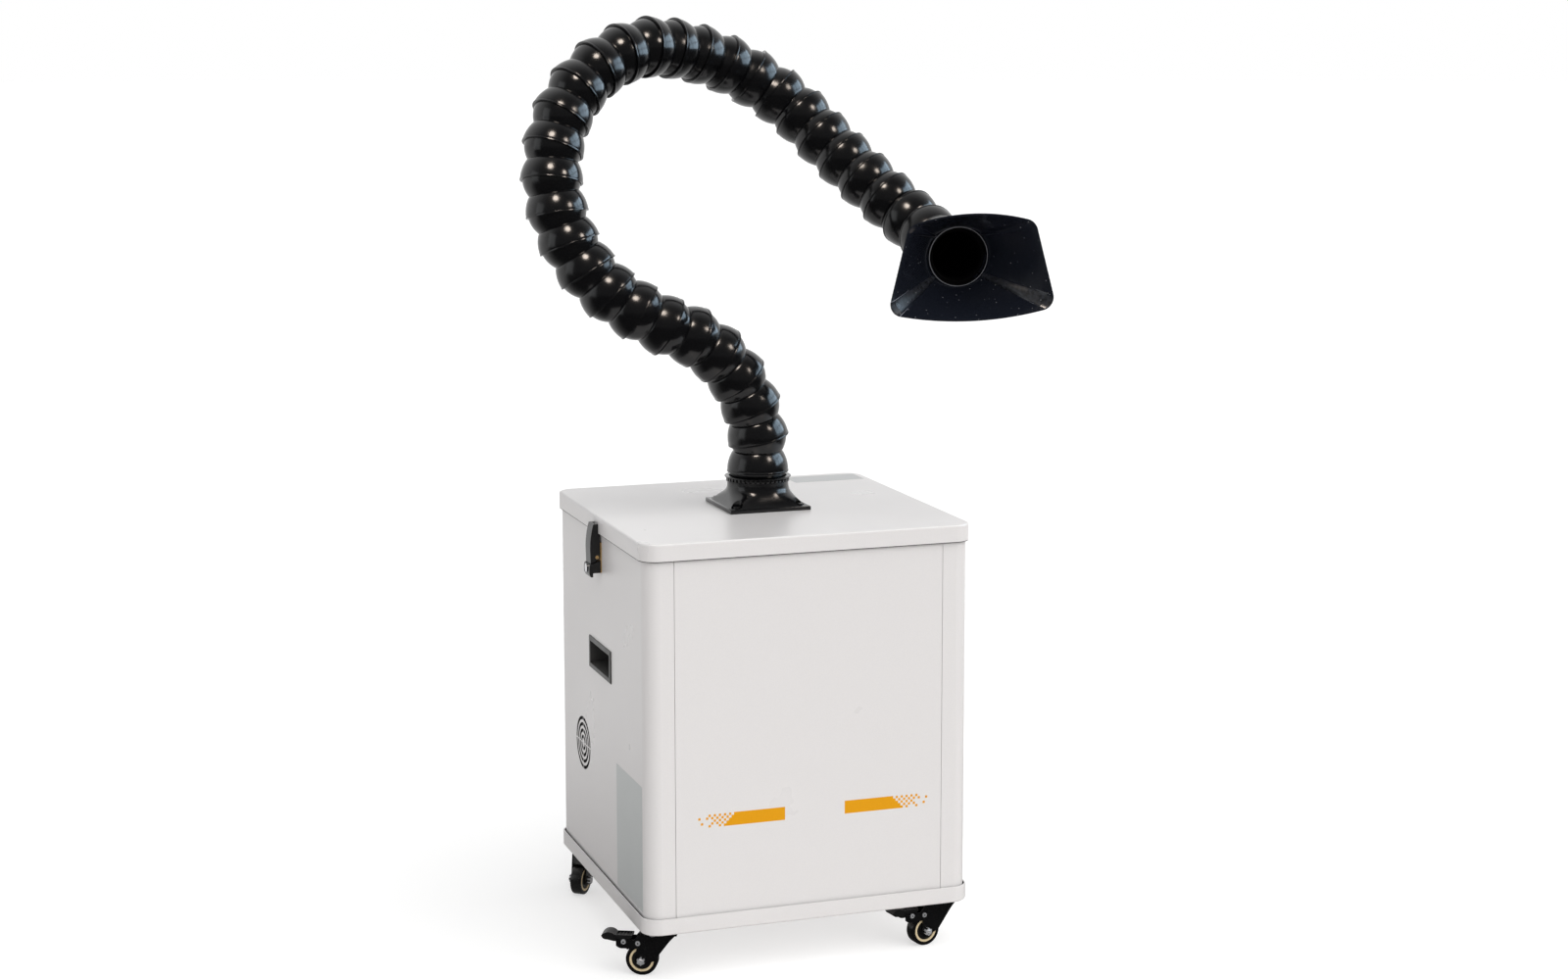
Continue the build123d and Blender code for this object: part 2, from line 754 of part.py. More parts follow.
# Speed knob with its spindle, and the control that it turns
with BuildPart() as speed_knob:
    with BuildSketch(rear_plane.offset(-fit_gap)):
        with Locations((knob_x, control_height)):
            Circle(knob_skirt_radius)
    extrude(amount=-knob_skirt_thickness)
    with BuildSketch(rear_plane.offset(-fit_gap - knob_skirt_thickness)):
        with Locations((knob_x, control_height)):
            Circle(knob_radius)
            with PolarLocations(knob_radius, knob_flute_count):
                Circle(knob_flute_radius, mode=Mode.SUBTRACT)
    extrude(amount=-knob_height)
    with BuildSketch(rear_plane.offset(-fit_gap)):
        with Locations((knob_x, control_height)):
            Circle(knob_shaft_radius)
    extrude(amount=knob_shaft_length)
keep(speed_knob, "speed_knob")

with BuildPart() as speed_control:
    with BuildSketch(rear_plane.offset(sheet)):
        with Locations((knob_x, control_height)):
            Circle(knob_skirt_radius)
            Circle(knob_shaft_radius + running_gap, mode=Mode.SUBTRACT)
    extrude(amount=knob_shaft_length)
keep(speed_control, "speed_control")

# Flange that carries the arm: square plate, flare with four screw pockets, neck and the first ball
ball_z = lid_top_z + flange_plate + flange_flare_height + flange_neck_height
flare_foot_z = lid_top_z + flange_plate
flare_top_z = flare_foot_z + flange_flare_height
neck_radius = sqrt(ball_radius**2 - (ball_z - flare_top_z) ** 2)
ball_end_radius = sqrt(ball_radius**2 - ball_past_centre**2)
with BuildPart() as arm_flange:
    with BuildSketch(Plane.XZ.offset(-arm_y)):
        with BuildLine():
            foot = (arm_x + flange_flare_foot, flare_foot_z)
            shoulder = (arm_x + flange_neck_radius, flare_top_z)
            waist = (
                arm_x + flange_neck_radius + flare_sag_share * (flange_flare_foot - flange_neck_radius),
                flare_foot_z + flare_sag_share * flange_flare_height,
            )
            ball_foot = (arm_x + neck_radius, flare_top_z)
            ball_side = (arm_x + ball_radius, ball_z)
            ball_end = (arm_x + ball_end_radius, ball_z + ball_past_centre)
            Line((arm_x + neck_bore, flare_foot_z), foot)
            ThreePointArc(foot, waist, shoulder)
            Line(shoulder, ball_foot)
            ThreePointArc(ball_foot, ball_side, ball_end)
            Line(ball_end, (arm_x + ball_end_radius - ball_wall, ball_z + ball_past_centre))
            Line((arm_x + ball_end_radius - ball_wall, ball_z + ball_past_centre), (arm_x + neck_bore, flare_top_z))
            Line((arm_x + neck_bore, flare_top_z), (arm_x + neck_bore, flare_foot_z))
        make_face()
    revolve(axis=Axis((arm_x, arm_y, 0), (0, 0, 1)))
    with BuildSketch(Plane.XY.offset(flare_foot_z)):
        with Locations((arm_x, arm_y)):
            Rectangle(flange_side - 2 * flange_corner, flange_side - 2 * flange_corner)
    extrude(amount=ball_z, mode=Mode.INTERSECT)
    with BuildSketch(Plane.XY.offset(flare_foot_z)):
        with Locations((arm_x, arm_y)):
            with GridLocations(flange_side - 2 * flange_screw_inset, flange_side - 2 * flange_screw_inset, 2, 2):
                Circle(screw_pocket_radius)
    extrude(amount=flange_flare_height, mode=Mode.SUBTRACT)
    with BuildSketch(Plane.XY.offset(lid_top_z)):
        with Locations((arm_x, arm_y)):
            RectangleRounded(flange_side, flange_side, flange_corner)
            Circle(neck_bore, mode=Mode.SUBTRACT)
            with GridLocations(flange_side - 2 * flange_screw_inset, flange_side - 2 * flange_screw_inset, 2, 2):
                Circle(flange_screw_radius + running_gap, mode=Mode.SUBTRACT)
    extrude(amount=flange_plate)
keep(arm_flange, "arm_flange")

# Notched ring that clamps round the foot of the first ball
clamp_bore = sqrt(ball_radius**2 - (ball_z - flare_top_z - clamp_ring_height) ** 2) + fit_gap
with BuildPart() as flange_clamp_ring:
    with BuildSketch(Plane.XY.offset(flare_top_z)):
        with Locations((arm_x, arm_y)):
            Circle(clamp_ring_radius)
            Circle(clamp_bore, mode=Mode.SUBTRACT)
            with PolarLocations(clamp_ring_radius, clamp_notch_count):
                Rectangle(2 * clamp_notch_depth, clamp_notch_width, mode=Mode.SUBTRACT)
    extrude(amount=clamp_ring_height)
keep(flange_clamp_ring, "flange_clamp_ring")

with BuildPart() as flange_screws:
    with BuildSketch(Plane.XY.offset(flare_foot_z)):
        with Locations((arm_x, arm_y)):
            with GridLocations(flange_side - 2 * flange_screw_inset, flange_side - 2 * flange_screw_inset, 2, 2):
                Circle(flange_screw_head_radius)
    extrude(amount=flange_screw_head_height)
    with BuildSketch(Plane.XY.offset(flare_foot_z)):
        with Locations((arm_x, arm_y)):
            with GridLocations(flange_side - 2 * flange_screw_inset, flange_side - 2 * flange_screw_inset, 2, 2):
                Circle(flange_screw_radius)
    extrude(amount=-flange_plate - flange_screw_reach)
keep(flange_screws, "flange_screws")

# One knuckle of the arm: a bell with a spherical socket below, and the next ball above it.
# The V between bell and ball is where the two outer spheres meet.
valley_below_ball = knuckle_pitch / 2 - (bell_radius**2 - ball_radius**2) / (2 * knuckle_pitch)
valley_z = knuckle_pitch - valley_below_ball
valley_radius = sqrt(ball_radius**2 - valley_below_ball**2)
socket_radius = ball_radius + socket_gap
bell_rim_radius = sqrt(bell_radius**2 - bell_past_centre**2)
# The socket runs straight, then closes in a cone that touches the sphere of the socket
cone_start_z = socket_radius * (1 - cos(radians(socket_cone_angle))) / sin(radians(socket_cone_angle))
cone_end_z = (socket_radius - neck_bore * cos(radians(socket_cone_angle))) / sin(radians(socket_cone_angle))


def bell_point(angle):
    """A point on the outer sphere of the bell, by its angle above the rim plane of the sphere."""
    return (bell_radius * cos(radians(angle)), bell_radius * sin(radians(angle)))


with BuildPart() as knuckle:
    with BuildSketch(Plane.XZ):
        with BuildLine():
            rim = (bell_rim_radius, -bell_past_centre)
            valley = (valley_radius, valley_z)
            ball_end = (ball_end_radius, knuckle_pitch + ball_past_centre)
            ThreePointArc(rim, bell_point(bell_mid_angle), valley)
            ThreePointArc(valley, (ball_radius, knuckle_pitch), ball_end)
            Polyline(
                ball_end,
                (ball_end_radius - ball_wall, knuckle_pitch + ball_past_centre),
                (neck_bore, cone_end_z),
                (socket_radius, cone_start_z),
                (socket_radius, -bell_past_centre),
                rim,
            )
        make_face()
    revolve(axis=Axis.Z)

# The places of the knuckles: the first stands upright on the flange, the others follow the bends
knuckle_frames = [Location((arm_x, arm_y, ball_z))]
next_pivot = Location((0, 0, knuckle_pitch))
for bend_count, side_bend, front_bend in arm_bends:
    for bend in range(bend_count):
        turn = Location((0, 0, 0), (0, -side_bend, 0)) * Location((0, 0, 0), (front_bend, 0, 0))
        knuckle_frames.append(knuckle_frames[-1] * next_pivot * turn)

section_start = 0
section_number = 1
while section_start < len(knuckle_frames):
    section_end = section_start + (first_section_count if section_start == 0 else section_count)
    with BuildPart() as arm_section:
        with Locations(*knuckle_frames[section_start:section_end]):
            add(knuckle.part)
    keep(arm_section, f"arm_section_{section_number:02d}")
    section_start = section_end
    section_number += 1

# Hood axes: the origin in the centre of the last ball, z out of the mouth, y up
hood_frame = knuckle_frames[-1] * next_pivot
hood_axis = Plane(hood_frame).z_dir
hood_plane = Plane(origin=hood_frame.position, x_dir=Vector(0, 0, 1).cross(hood_axis), z_dir=hood_axis)

# Collar: the last socket, with a short spigot on which the hood turns
with BuildPart() as hood_collar:
    with BuildSketch(Plane.XZ):
        with BuildLine():
            ThreePointArc(rim, bell_point(bell_mid_angle), bell_point(collar_shoulder_angle))
            shoulder = bell_point(collar_shoulder_angle)
            Polyline(
                shoulder,
                (spigot_radius, shoulder[1]),
                (spigot_radius, spigot_end),
                (spigot_radius - spigot_wall, spigot_end),
                (neck_bore, cone_end_z),
                (socket_radius, cone_start_z),
                (socket_radius, -bell_past_centre),
                rim,
            )
        make_face()
    revolve(axis=Axis.Z)
hood_place = hood_plane.location * Location((0, 0, 0), (0, 0, hood_roll))
collar_part = hood_place * hood_collar.part
collar_part.label = "hood_collar"
pieces.append(collar_part)


def hood_outline(inset):
    """The mouth: slanted sides, crowned top and bottom and rounded corners, as eight edges.
    The slopes are those of the crowned edges where they meet the corners."""
    corners = []
    crown_ends = []
    for half, crown, slope, rounding, up in (
        (mouth_top_half, mouth_top_crown, mouth_top_slope, mouth_top_corner, 1),
        (mouth_bottom_half, mouth_bottom_crown, mouth_bottom_slope, mouth_bottom_corner, -1),
    ):
        crown_end_x = half - inset - rounding * cos(radians(slope))
        crown_end_y = crown - inset - crown_end_x * tan(radians(slope / 2))
        corners.append(Vector(half - inset, up * (crown_end_y - rounding * sin(radians(slope)))))
        crown_ends.append(Vector(crown_end_x, up * crown_end_y))
    side_line = (corners[1] - corners[0]).normalized()
    side_ends = [corners[0] + side_line * mouth_top_corner, corners[1] - side_line * mouth_bottom_corner]
    round_middles = []
    for corner, crown_end, side_end in zip(corners, crown_ends, side_ends):
        chord_middle = (crown_end + side_end) / 2
        round_middles.append(chord_middle + (corner - chord_middle) * corner_share)
    points = [crown_ends[0], side_ends[0], side_ends[1], crown_ends[1]]
    mirror = [Vector(-point.X, point.Y) for point in points]
    crowns = [Vector(0, mouth_top_crown - inset), Vector(0, inset - mouth_bottom_crown)]
    ThreePointArc(mirror[0], crowns[0], points[0])
    ThreePointArc(points[0], round_middles[0], points[1])
    Line(points[1], points[2])
    ThreePointArc(points[2], round_middles[1], points[3])
    ThreePointArc(points[3], crowns[1], mirror[3])
    ThreePointArc(mirror[3], Vector(-round_middles[1].X, round_middles[1].Y), mirror[2])
    Line(mirror[2], mirror[1])
    ThreePointArc(mirror[1], Vector(-round_middles[0].X, round_middles[0].Y), mirror[0])


def throat_outline(radius):
    """The throat circle, split at the angles where the creases of the hood start."""
    angles = [
        180 - throat_top_angle,
        throat_top_angle,
        throat_top_angle - throat_crease,
        throat_crease - throat_bottom_angle,
        -throat_bottom_angle,
        throat_bottom_angle - 180,
        180 + throat_bottom_angle - throat_crease,
        180 - throat_top_angle + throat_crease,
    ]
    ends = angles[1:] + angles[:1]
    for start, end in zip(angles, ends):
        span = (start - end) % 360
        CenterArc((0, 0), radius, start, -span)


throat_radius = spigot_radius + hood_sleeve_gap + hood_sleeve_wall
sleeve_start = bell_point(collar_shoulder_angle)[1] + fit_gap
with BuildPart() as hood:
    with BuildSketch(Plane.XY.offset(sleeve_start)):
        Circle(throat_radius)
    extrude(amount=throat_start - sleeve_start)
    with BuildSketch(Plane.XY.offset(throat_start)):
        with BuildLine():
            throat_outline(throat_radius)
        make_face()
    with BuildSketch(Plane.XY.offset(throat_start + hood_depth)):
        with BuildLine():
            hood_outline(0)
        make_face()
    loft(ruled=True)
    with BuildSketch(Plane.XY.offset(throat_start)):
        with BuildLine():
            throat_outline(throat_radius - hood_wall)
        make_face()
    with BuildSketch(Plane.XY.offset(throat_start + hood_depth)):
        with BuildLine():
            hood_outline(hood_wall)
        make_face()
    loft(ruled=True, mode=Mode.SUBTRACT)
    with BuildSketch(Plane.XY.offset(sleeve_start)):
        Circle(spigot_radius + hood_sleeve_gap)
    extrude(amount=throat_start - sleeve_start + overcut, mode=Mode.SUBTRACT)
hood_part = hood_place * hood.part
hood_part.label = "hood"
pieces.append(hood_part)


# Caster top plates with their swivel race and kingpin
plate_bottom_z = pan_bottom_z - caster_plate_thickness
race_bottom_z = plate_bottom_z - race_height
crown_top_z = race_bottom_z - fit_gap
crown_bottom_z = crown_top_z - fork_sheet
kingpin_end_z = crown_bottom_z - fit_gap
with BuildPart() as caster_plates:
    with BuildSketch(Plane.XY.offset(plate_bottom_z)):
        with Locations(*caster_places.values()):
            Rectangle(caster_plate_length, caster_plate_width)
            with GridLocations(2 * caster_bolt_x, 2 * caster_bolt_y, 2, 2):
                Circle(caster_bolt_radius + running_gap, mode=Mode.SUBTRACT)
    extrude(amount=caster_plate_thickness)
    with BuildSketch(Plane.XY.offset(plate_bottom_z)):
        with Locations(*caster_places.values()):
            Circle(race_radius)
    extrude(amount=-race_height)
    with BuildSketch(Plane.XY.offset(kingpin_end_z)):
        with Locations(*caster_places.values()):
            Circle(kingpin_radius)
    extrude(amount=race_bottom_z - kingpin_end_z)
    with BuildSketch(Plane.XY.offset(kingpin_end_z)):
        with Locations(*caster_places.values()):
            Circle(kingpin_head_radius)
    extrude(amount=-kingpin_head_height)
keep(caster_plates, "caster_plates")

with BuildPart() as caster_bolts:
    for bolt_z, bolt_length, bolt_shape in (
        (plate_bottom_z, -race_height, hexagon_sides),
        (pan_floor_z, race_height, hexagon_sides),
        (plate_bottom_z, pan_floor_z - plate_bottom_z + race_height, 0),
    ):
        with BuildSketch(Plane.XY.offset(bolt_z)):
            with Locations(*caster_places.values()):
                with GridLocations(2 * caster_bolt_x, 2 * caster_bolt_y, 2, 2):
                    if bolt_shape:
                        RegularPolygon(caster_bolt_head_radius, bolt_shape)
                    else:
                        Circle(caster_bolt_radius)
        extrude(amount=bolt_length)
keep(caster_bolts, "caster_bolts")

cheek_inside = wheel_width / 2 + fork_side_gap
cheek_outside = cheek_inside + fork_sheet
brake_pivot_z = pan_bottom_z - brake_pivot_drop
brake_pivot = (brake_pivot_x, brake_pivot_z)
brake_rivet = (brake_rivet_x, pan_bottom_z - brake_rivet_drop)


def fork(braked):
    """A caster fork in its own frame: swivel axis at the origin, +X the trailing direction, floor at z = 0."""
    with BuildPart() as part:
        for cheek in (-1, 1):
            with BuildSketch(Plane.XZ.offset(cheek * cheek_inside)):
                with BuildLine():
                    Polyline(
                        (-fork_back, crown_top_z),
                        (fork_front, crown_top_z),
                        (caster_trail + fork_foot_radius, wheel_radius),
                        (caster_trail - fork_foot_radius, wheel_radius - fork_foot_radius / 2),
                        (fork_heel, wheel_radius),
                        (-fork_waist_back, pan_bottom_z - fork_waist_drop),
                    )
                    ThreePointArc(
                        (-fork_waist_back, pan_bottom_z - fork_waist_drop),
                        (-fork_flare_back, pan_bottom_z - fork_flare_drop),
                        (-fork_back, crown_top_z),
                    )
                make_face()
                with Locations((caster_trail, wheel_radius)):
                    Circle(fork_foot_radius)
                if braked:
                    with BuildLine():
                        curve_start = (bracket_curve_x, pan_bottom_z - bracket_bottom_drop)
                        curve_end = (bracket_end, pan_bottom_z - bracket_end_drop)
                        TangentArc(curve_start, curve_end, tangent=(1, 0))
                        Polyline(
                            curve_end,
                            (bracket_end, pan_bottom_z - bracket_top_drop),
                            (bracket_start, pan_bottom_z - bracket_top_drop),
                            (fork_front, crown_bottom_z),
                            (0, crown_bottom_z),
                            (caster_trail, pan_bottom_z - bracket_bottom_drop),
                            curve_start,
                        )
                    make_face()
            extrude(amount=cheek * fork_sheet)
            with BuildSketch(Plane.XZ.offset(cheek * cheek_outside)):
                with Locations((caster_trail, wheel_radius)):
                    RegularPolygon(axle_head_radius, hexagon_sides)
            extrude(amount=cheek * axle_head_height)
            if braked:
                with BuildSketch(Plane.XZ.offset(cheek * cheek_outside)):
                    with Locations(brake_rivet, brake_pivot):
                        Circle(rivet_head_radius)
                extrude(amount=cheek * rivet_head_height)
        with BuildSketch(Plane.XY.offset(crown_bottom_z)):
            with Locations(((fork_front - fork_back) / 2, 0)):
                Rectangle(fork_front + fork_back, 2 * cheek_outside)
            Circle(kingpin_radius + running_gap, mode=Mode.SUBTRACT)
        extrude(amount=fork_sheet)
        with BuildSketch(Plane.XZ):
            with Locations((caster_trail, wheel_radius)):
                Circle(axle_radius)
            if braked:
                with Locations(brake_pivot):
                    Circle(rivet_radius)
        extrude(amount=cheek_outside, both=True)
    return part.part


# Wheel in the frame of its fork: cream hub and black tyre
hub_radius = wheel_radius - tyre_depth
with BuildPart() as wheel_hub:
    with BuildSketch(Plane.XZ):
        with Locations((caster_trail, wheel_radius)):
            Circle(hub_radius - running_gap)
            Circle(hub_radius - hub_rim, mode=Mode.SUBTRACT)
    extrude(amount=wheel_width / 2, both=True)
    with BuildSketch(Plane.XZ):
        with Locations((caster_trail, wheel_radius)):
            Circle(hub_radius - hub_rim)
    extrude(amount=hub_web / 2, both=True)
    with BuildSketch(Plane.XZ):
        with Locations((caster_trail, wheel_radius)):
            Circle(hub_boss_radius)
    extrude(amount=cheek_inside - fit_gap, both=True)
    with BuildSketch(Plane.XZ):
        with Locations((caster_trail, wheel_radius)):
            Circle(axle_radius + running_gap)
    extrude(amount=cheek_inside, both=True, mode=Mode.SUBTRACT)

with BuildPart() as tyre:
    with BuildSketch(Plane.XZ):
        with Locations((caster_trail, wheel_radius)):
            Circle(wheel_radius)
    extrude(amount=wheel_width / 2, both=True)
    chamfer(tyre.edges(), tyre_edge)
    with BuildSketch(Plane.XZ):
        with Locations((caster_trail, wheel_radius)):
            Circle(hub_radius)
    extrude(amount=wheel_width, both=True, mode=Mode.SUBTRACT)

# Brake pedal of a front caster: body with a ribbed channel, hub on the rivet, rounded tip and the shoe
# that reaches for the tyre
pivot_ahead = brake_pivot_x - caster_trail
pivot_above = brake_pivot_z - wheel_radius
shoe_reach = sqrt(pivot_ahead**2 + pivot_above**2) - wheel_radius - 2 * fit_gap
shoe_angle = 180 + degrees(atan2(pivot_above, pivot_ahead)) + brake_travel
pedal_half = cheek_inside - fit_gap
pedal_top_z = pan_bottom_z - pedal_top_drop
pedal_root_z = pan_bottom_z - pedal_root_drop
channel_length = pedal_tip_start - pedal_rear_x - 2 * pedal_rim
channel_x = (pedal_tip_start + pedal_rear_x) / 2
channel_width = 2 * (pedal_half - pedal_rim)
pocket_pitch = (channel_length + pedal_rib) / pedal_pocket_count
with BuildPart() as pedal:
    with BuildSketch(Plane.XZ):
        with BuildLine():
            Polyline(
                (pedal_tip_start, pedal_top_z),
                (pedal_rear_x, pedal_top_z),
                (pedal_rear_x, pan_bottom_z - pedal_rear_drop),
                (brake_pivot_x - pedal_lug_radius, brake_pivot_z),
                (brake_pivot_x, brake_pivot_z - pedal_lug_radius),
                (pedal_tip_start, pedal_root_z),
                close=True,
            )
        make_face()
        with Locations(brake_pivot):
            Circle(pedal_lug_radius)
        shoe_middle = Vector(shoe_reach / 2, 0).rotate(Axis.Z, shoe_angle)
        with Locations((brake_pivot_x + shoe_middle.X, brake_pivot_z + shoe_middle.Y)):
            Rectangle(shoe_reach, brake_shoe_width, rotation=shoe_angle)
    extrude(amount=pedal_half, both=True)
    with BuildSketch(Plane.XZ):
        with BuildLine():
            tip_start = (pedal_tip_start, pedal_top_z)
            tip_end = (pedal_tip, pan_bottom_z - pedal_tip_drop)
            tip_under = (pedal_under_x, pan_bottom_z - pedal_under_drop)
            ThreePointArc(tip_start, (pedal_crest_x, pan_bottom_z - pedal_crest_drop), tip_end)
            ThreePointArc(tip_end, (pedal_chin_x, pan_bottom_z - pedal_chin_drop), tip_under)
            Polyline(tip_under, (pedal_tip_start, pedal_root_z), tip_start)
        make_face()
    extrude(amount=pedal_tip_width / 2, both=True)
    with BuildSketch(Plane.XY.offset(pedal_top_z)):
        with Locations((channel_x, 0)):
            Rectangle(channel_length, channel_width)
    extrude(amount=-pedal_channel_depth, mode=Mode.SUBTRACT)
    with BuildSketch(Plane.XY.offset(pedal_top_z)):
        with Locations((channel_x, 0)):
            with GridLocations(pocket_pitch, channel_width, pedal_pocket_count, 1):
                Rectangle(pocket_pitch - pedal_rib, channel_width)
    extrude(amount=-pedal_pocket_depth, mode=Mode.SUBTRACT)
    with BuildSketch(Plane.XZ):
        with Locations(brake_pivot):
            Circle(rivet_radius + running_gap)
    extrude(amount=pedal_tip_width, both=True, mode=Mode.SUBTRACT)

for caster_name in caster_places:
    braked = caster_name.startswith("front")
    caster_location = Location((*caster_places[caster_name], 0), (0, 0, caster_turns[caster_name]))
    caster_pieces = {"caster_fork": fork(braked), "caster_tyre": tyre.part, "caster_hub": wheel_hub.part}
    if braked:
        caster_pieces["brake_pedal"] = pedal.part
    for piece_name, piece in caster_pieces.items():
        placed = caster_location * piece
        placed.label = f"{caster_name}_{piece_name}"
        pieces.append(placed)


def latch_point(side, out, height):
    """A point of a latch in its upright plane, from its distance off the side panel and its height."""
    return (side * (side_face + out), height)


# Brass latch plates with two ears and the pin of the lever
with BuildPart() as latch_plates:
    for side in (-1, 1):
        with BuildSketch(Plane.XZ.offset(-latch_y)):
            with Locations(
                latch_point(side, latch_plate_thickness / 2, (latch_pin_z + latch_plate_rise + latch_block_bottom_z) / 2)
            ):
                Rectangle(latch_plate_thickness, latch_pin_z + latch_plate_rise - latch_block_bottom_z)
        extrude(amount=latch_plate_width / 2, both=True)
        for ear in (-1, 1):
            with BuildSketch(Plane.XZ.offset(ear * latch_ear_gap / 2 - latch_y)):
                with Locations(latch_point(side, latch_pin_out / 2, latch_pin_z)):
                    Rectangle(latch_pin_out, 2 * latch_ear_radius)
                with Locations(latch_point(side, latch_pin_out, latch_pin_z)):
                    Circle(latch_ear_radius)
            extrude(amount=ear * latch_ear_thickness)
        with BuildSketch(Plane.XZ.offset(-latch_y)):
            with Locations(latch_point(side, latch_pin_out, latch_pin_z)):
                Circle(latch_pin_radius)
        extrude(amount=lever_width / 2, both=True)
keep(latch_plates, "latch_plates")

# Fixed lower blocks of the latches: hollow, open at the top, with a finger tab
with BuildPart() as latch_blocks:
    for side in (-1, 1):
        with BuildSketch(Plane.XZ.offset(-latch_y)):
            with BuildLine():
                Polyline(
                    latch_point(side, latch_plate_thickness, latch_block_bottom_z),
                    latch_point(side, latch_tab_out, latch_block_bottom_z),
                    latch_point(side, latch_tab_out, latch_pin_z - latch_tab_drop),
                    latch_point(side, latch_tab_tip_out, latch_pin_z - latch_tab_drop),
                    latch_point(side, latch_block_out, latch_pin_z - latch_tab_side_drop),
                    latch_point(side, latch_block_out, latch_pin_z - lock_drop),
                    latch_point(side, latch_block_top_out, latch_pin_z - latch_block_outer_drop),
                    latch_point(side, latch_plate_thickness, latch_pin_z - latch_block_inner_drop),
                    close=True,
                )
            make_face()
        extrude(amount=latch_block_width / 2, both=True)
        hollow_bottom = latch_block_bottom_z + latch_block_wall
        hollow_depth = latch_block_out - latch_block_wall
        with BuildSketch(Plane.XZ.offset(-latch_y)):
            with Locations(latch_point(side, hollow_depth / 2, hollow_bottom + latch_block_out / 2)):
                Rectangle(hollow_depth, latch_block_out)
        extrude(amount=latch_block_width / 2 - latch_block_wall, both=True, mode=Mode.SUBTRACT)
keep(latch_blocks, "latch_blocks")

with BuildPart() as latch_locks:
    for side in (-1, 1):
        with BuildSketch(Plane.YZ.offset(side * (side_face + latch_block_out))):
            with Locations((latch_y, latch_pin_z - lock_drop)):
                Circle(lock_radius)
        extrude(amount=side * lock_proud)
keep(latch_locks, "latch_locks")


def latch_lever(side):
    """The swinging cover of a latch: two cheeks on the pin, a bulged front wall and a nose over the lid."""
    with BuildPart() as lever:
        for inset, width, mode in (
            (0, lever_width / 2, Mode.ADD),
            (lever_wall, lever_width / 2 - lever_wall, Mode.SUBTRACT),
        ):
            with BuildSketch(Plane.XZ.offset(-latch_y)):
                with BuildLine():
                    top_corner = latch_point(side, lever_top_out - inset, lever_top_z - inset)
                    bulge = latch_point(side, lever_bulge_out - inset, latch_pin_z + lever_bulge_share * lever_length)
                    upper = latch_point(side, lever_upper_out - inset, latch_pin_z + lever_upper_share * lever_length)
                    heel = latch_point(side, lever_heel_out - inset, latch_pin_z - lever_heel_drop)
                    ThreePointArc(top_corner, upper, bulge)
                    if inset:
                        Polyline(
                            bulge,
                            heel,
                            latch_point(side, lever_heel_out - inset, latch_block_bottom_z),
                            latch_point(side, 0, latch_block_bottom_z),
                            latch_point(side, 0, lever_top_z - inset),
                            top_corner,
                        )
                    else:
                        Polyline(
                            bulge,
                            heel,
                            latch_point(side, latch_pin_out, latch_pin_z - lever_hub_radius),
                            latch_point(side, lever_inner_out, latch_pin_z),
                            latch_point(side, lever_inner_out, lever_step_z),
                            latch_point(side, lever_step_out, lever_step_z),
                            latch_point(side, lever_step_out, lever_top_z),
                            top_corner,
                        )
                make_face()
                if not inset:
                    with Locations(latch_point(side, latch_pin_out, latch_pin_z)):
                        Circle(lever_hub_radius)
            extrude(amount=width, both=True, mode=mode)
        with BuildSketch(Plane.XZ.offset(-latch_y)):
            with Locations(latch_point(side, lever_nose_out / 2, lever_top_z)):
                Rectangle(lever_nose_out, 2 * keeper_height)
        extrude(amount=keeper_width / 2 + fit_gap, both=True, mode=Mode.SUBTRACT)
        with BuildSketch(Plane.XZ.offset(-latch_y)):
            with Locations(latch_point(side, latch_pin_out, latch_pin_z)):
                Circle(latch_pin_radius + running_gap)
        extrude(amount=lever_width, both=True, mode=Mode.SUBTRACT)
    return lever


keep(latch_lever(-1), "left_latch_lever")
keep(latch_lever(1), "right_latch_lever")

# Keepers on the skirt of the lid, inside the levers
with BuildPart() as latch_keepers:
    for side in (-1, 1):
        with BuildSketch(Plane.XZ.offset(-latch_y)):
            with BuildLine():
                Polyline(
                    latch_point(side, body_inset, keeper_bottom_z),
                    latch_point(side, body_inset + keeper_out, keeper_bottom_z),
                    latch_point(side, body_inset + keeper_out, keeper_bottom_z + keeper_height - keeper_lip_height),
                    latch_point(side, body_inset + keeper_lip, keeper_bottom_z + keeper_height - keeper_lip_height),
                    latch_point(side, body_inset + keeper_lip, keeper_bottom_z + keeper_height),
                    latch_point(side, body_inset, keeper_bottom_z + keeper_height),
                    close=True,
                )
            make_face()
        extrude(amount=keeper_width / 2, both=True)
keep(latch_keepers, "latch_keepers")

# The assembly is set on the bottom centre of its own bounding box
bounds = Compound(children=[copy.copy(piece) for piece in pieces]).bounding_box()
shift = Location((-(bounds.min.X + bounds.max.X) / 2, -(bounds.min.Y + bounds.max.Y) / 2, -bounds.min.Z))
for piece in pieces:
    placed = shift * piece
    placed.label = piece.label
    export_step(placed, f"parts/{piece.label}.step")
print("shift", shift.position)
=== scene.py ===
"""Mobile fume purifier: a powder coated sheet metal cabinet on four black casters, with a gloss black
ball and socket arm on its lid.

The solids give every place and size. This script dresses them: paint, plastics and metals, smooth turned
knuckles, the hood with its rounded creases, tyres, hubs, screws, latches and blank plates.
"""

import math

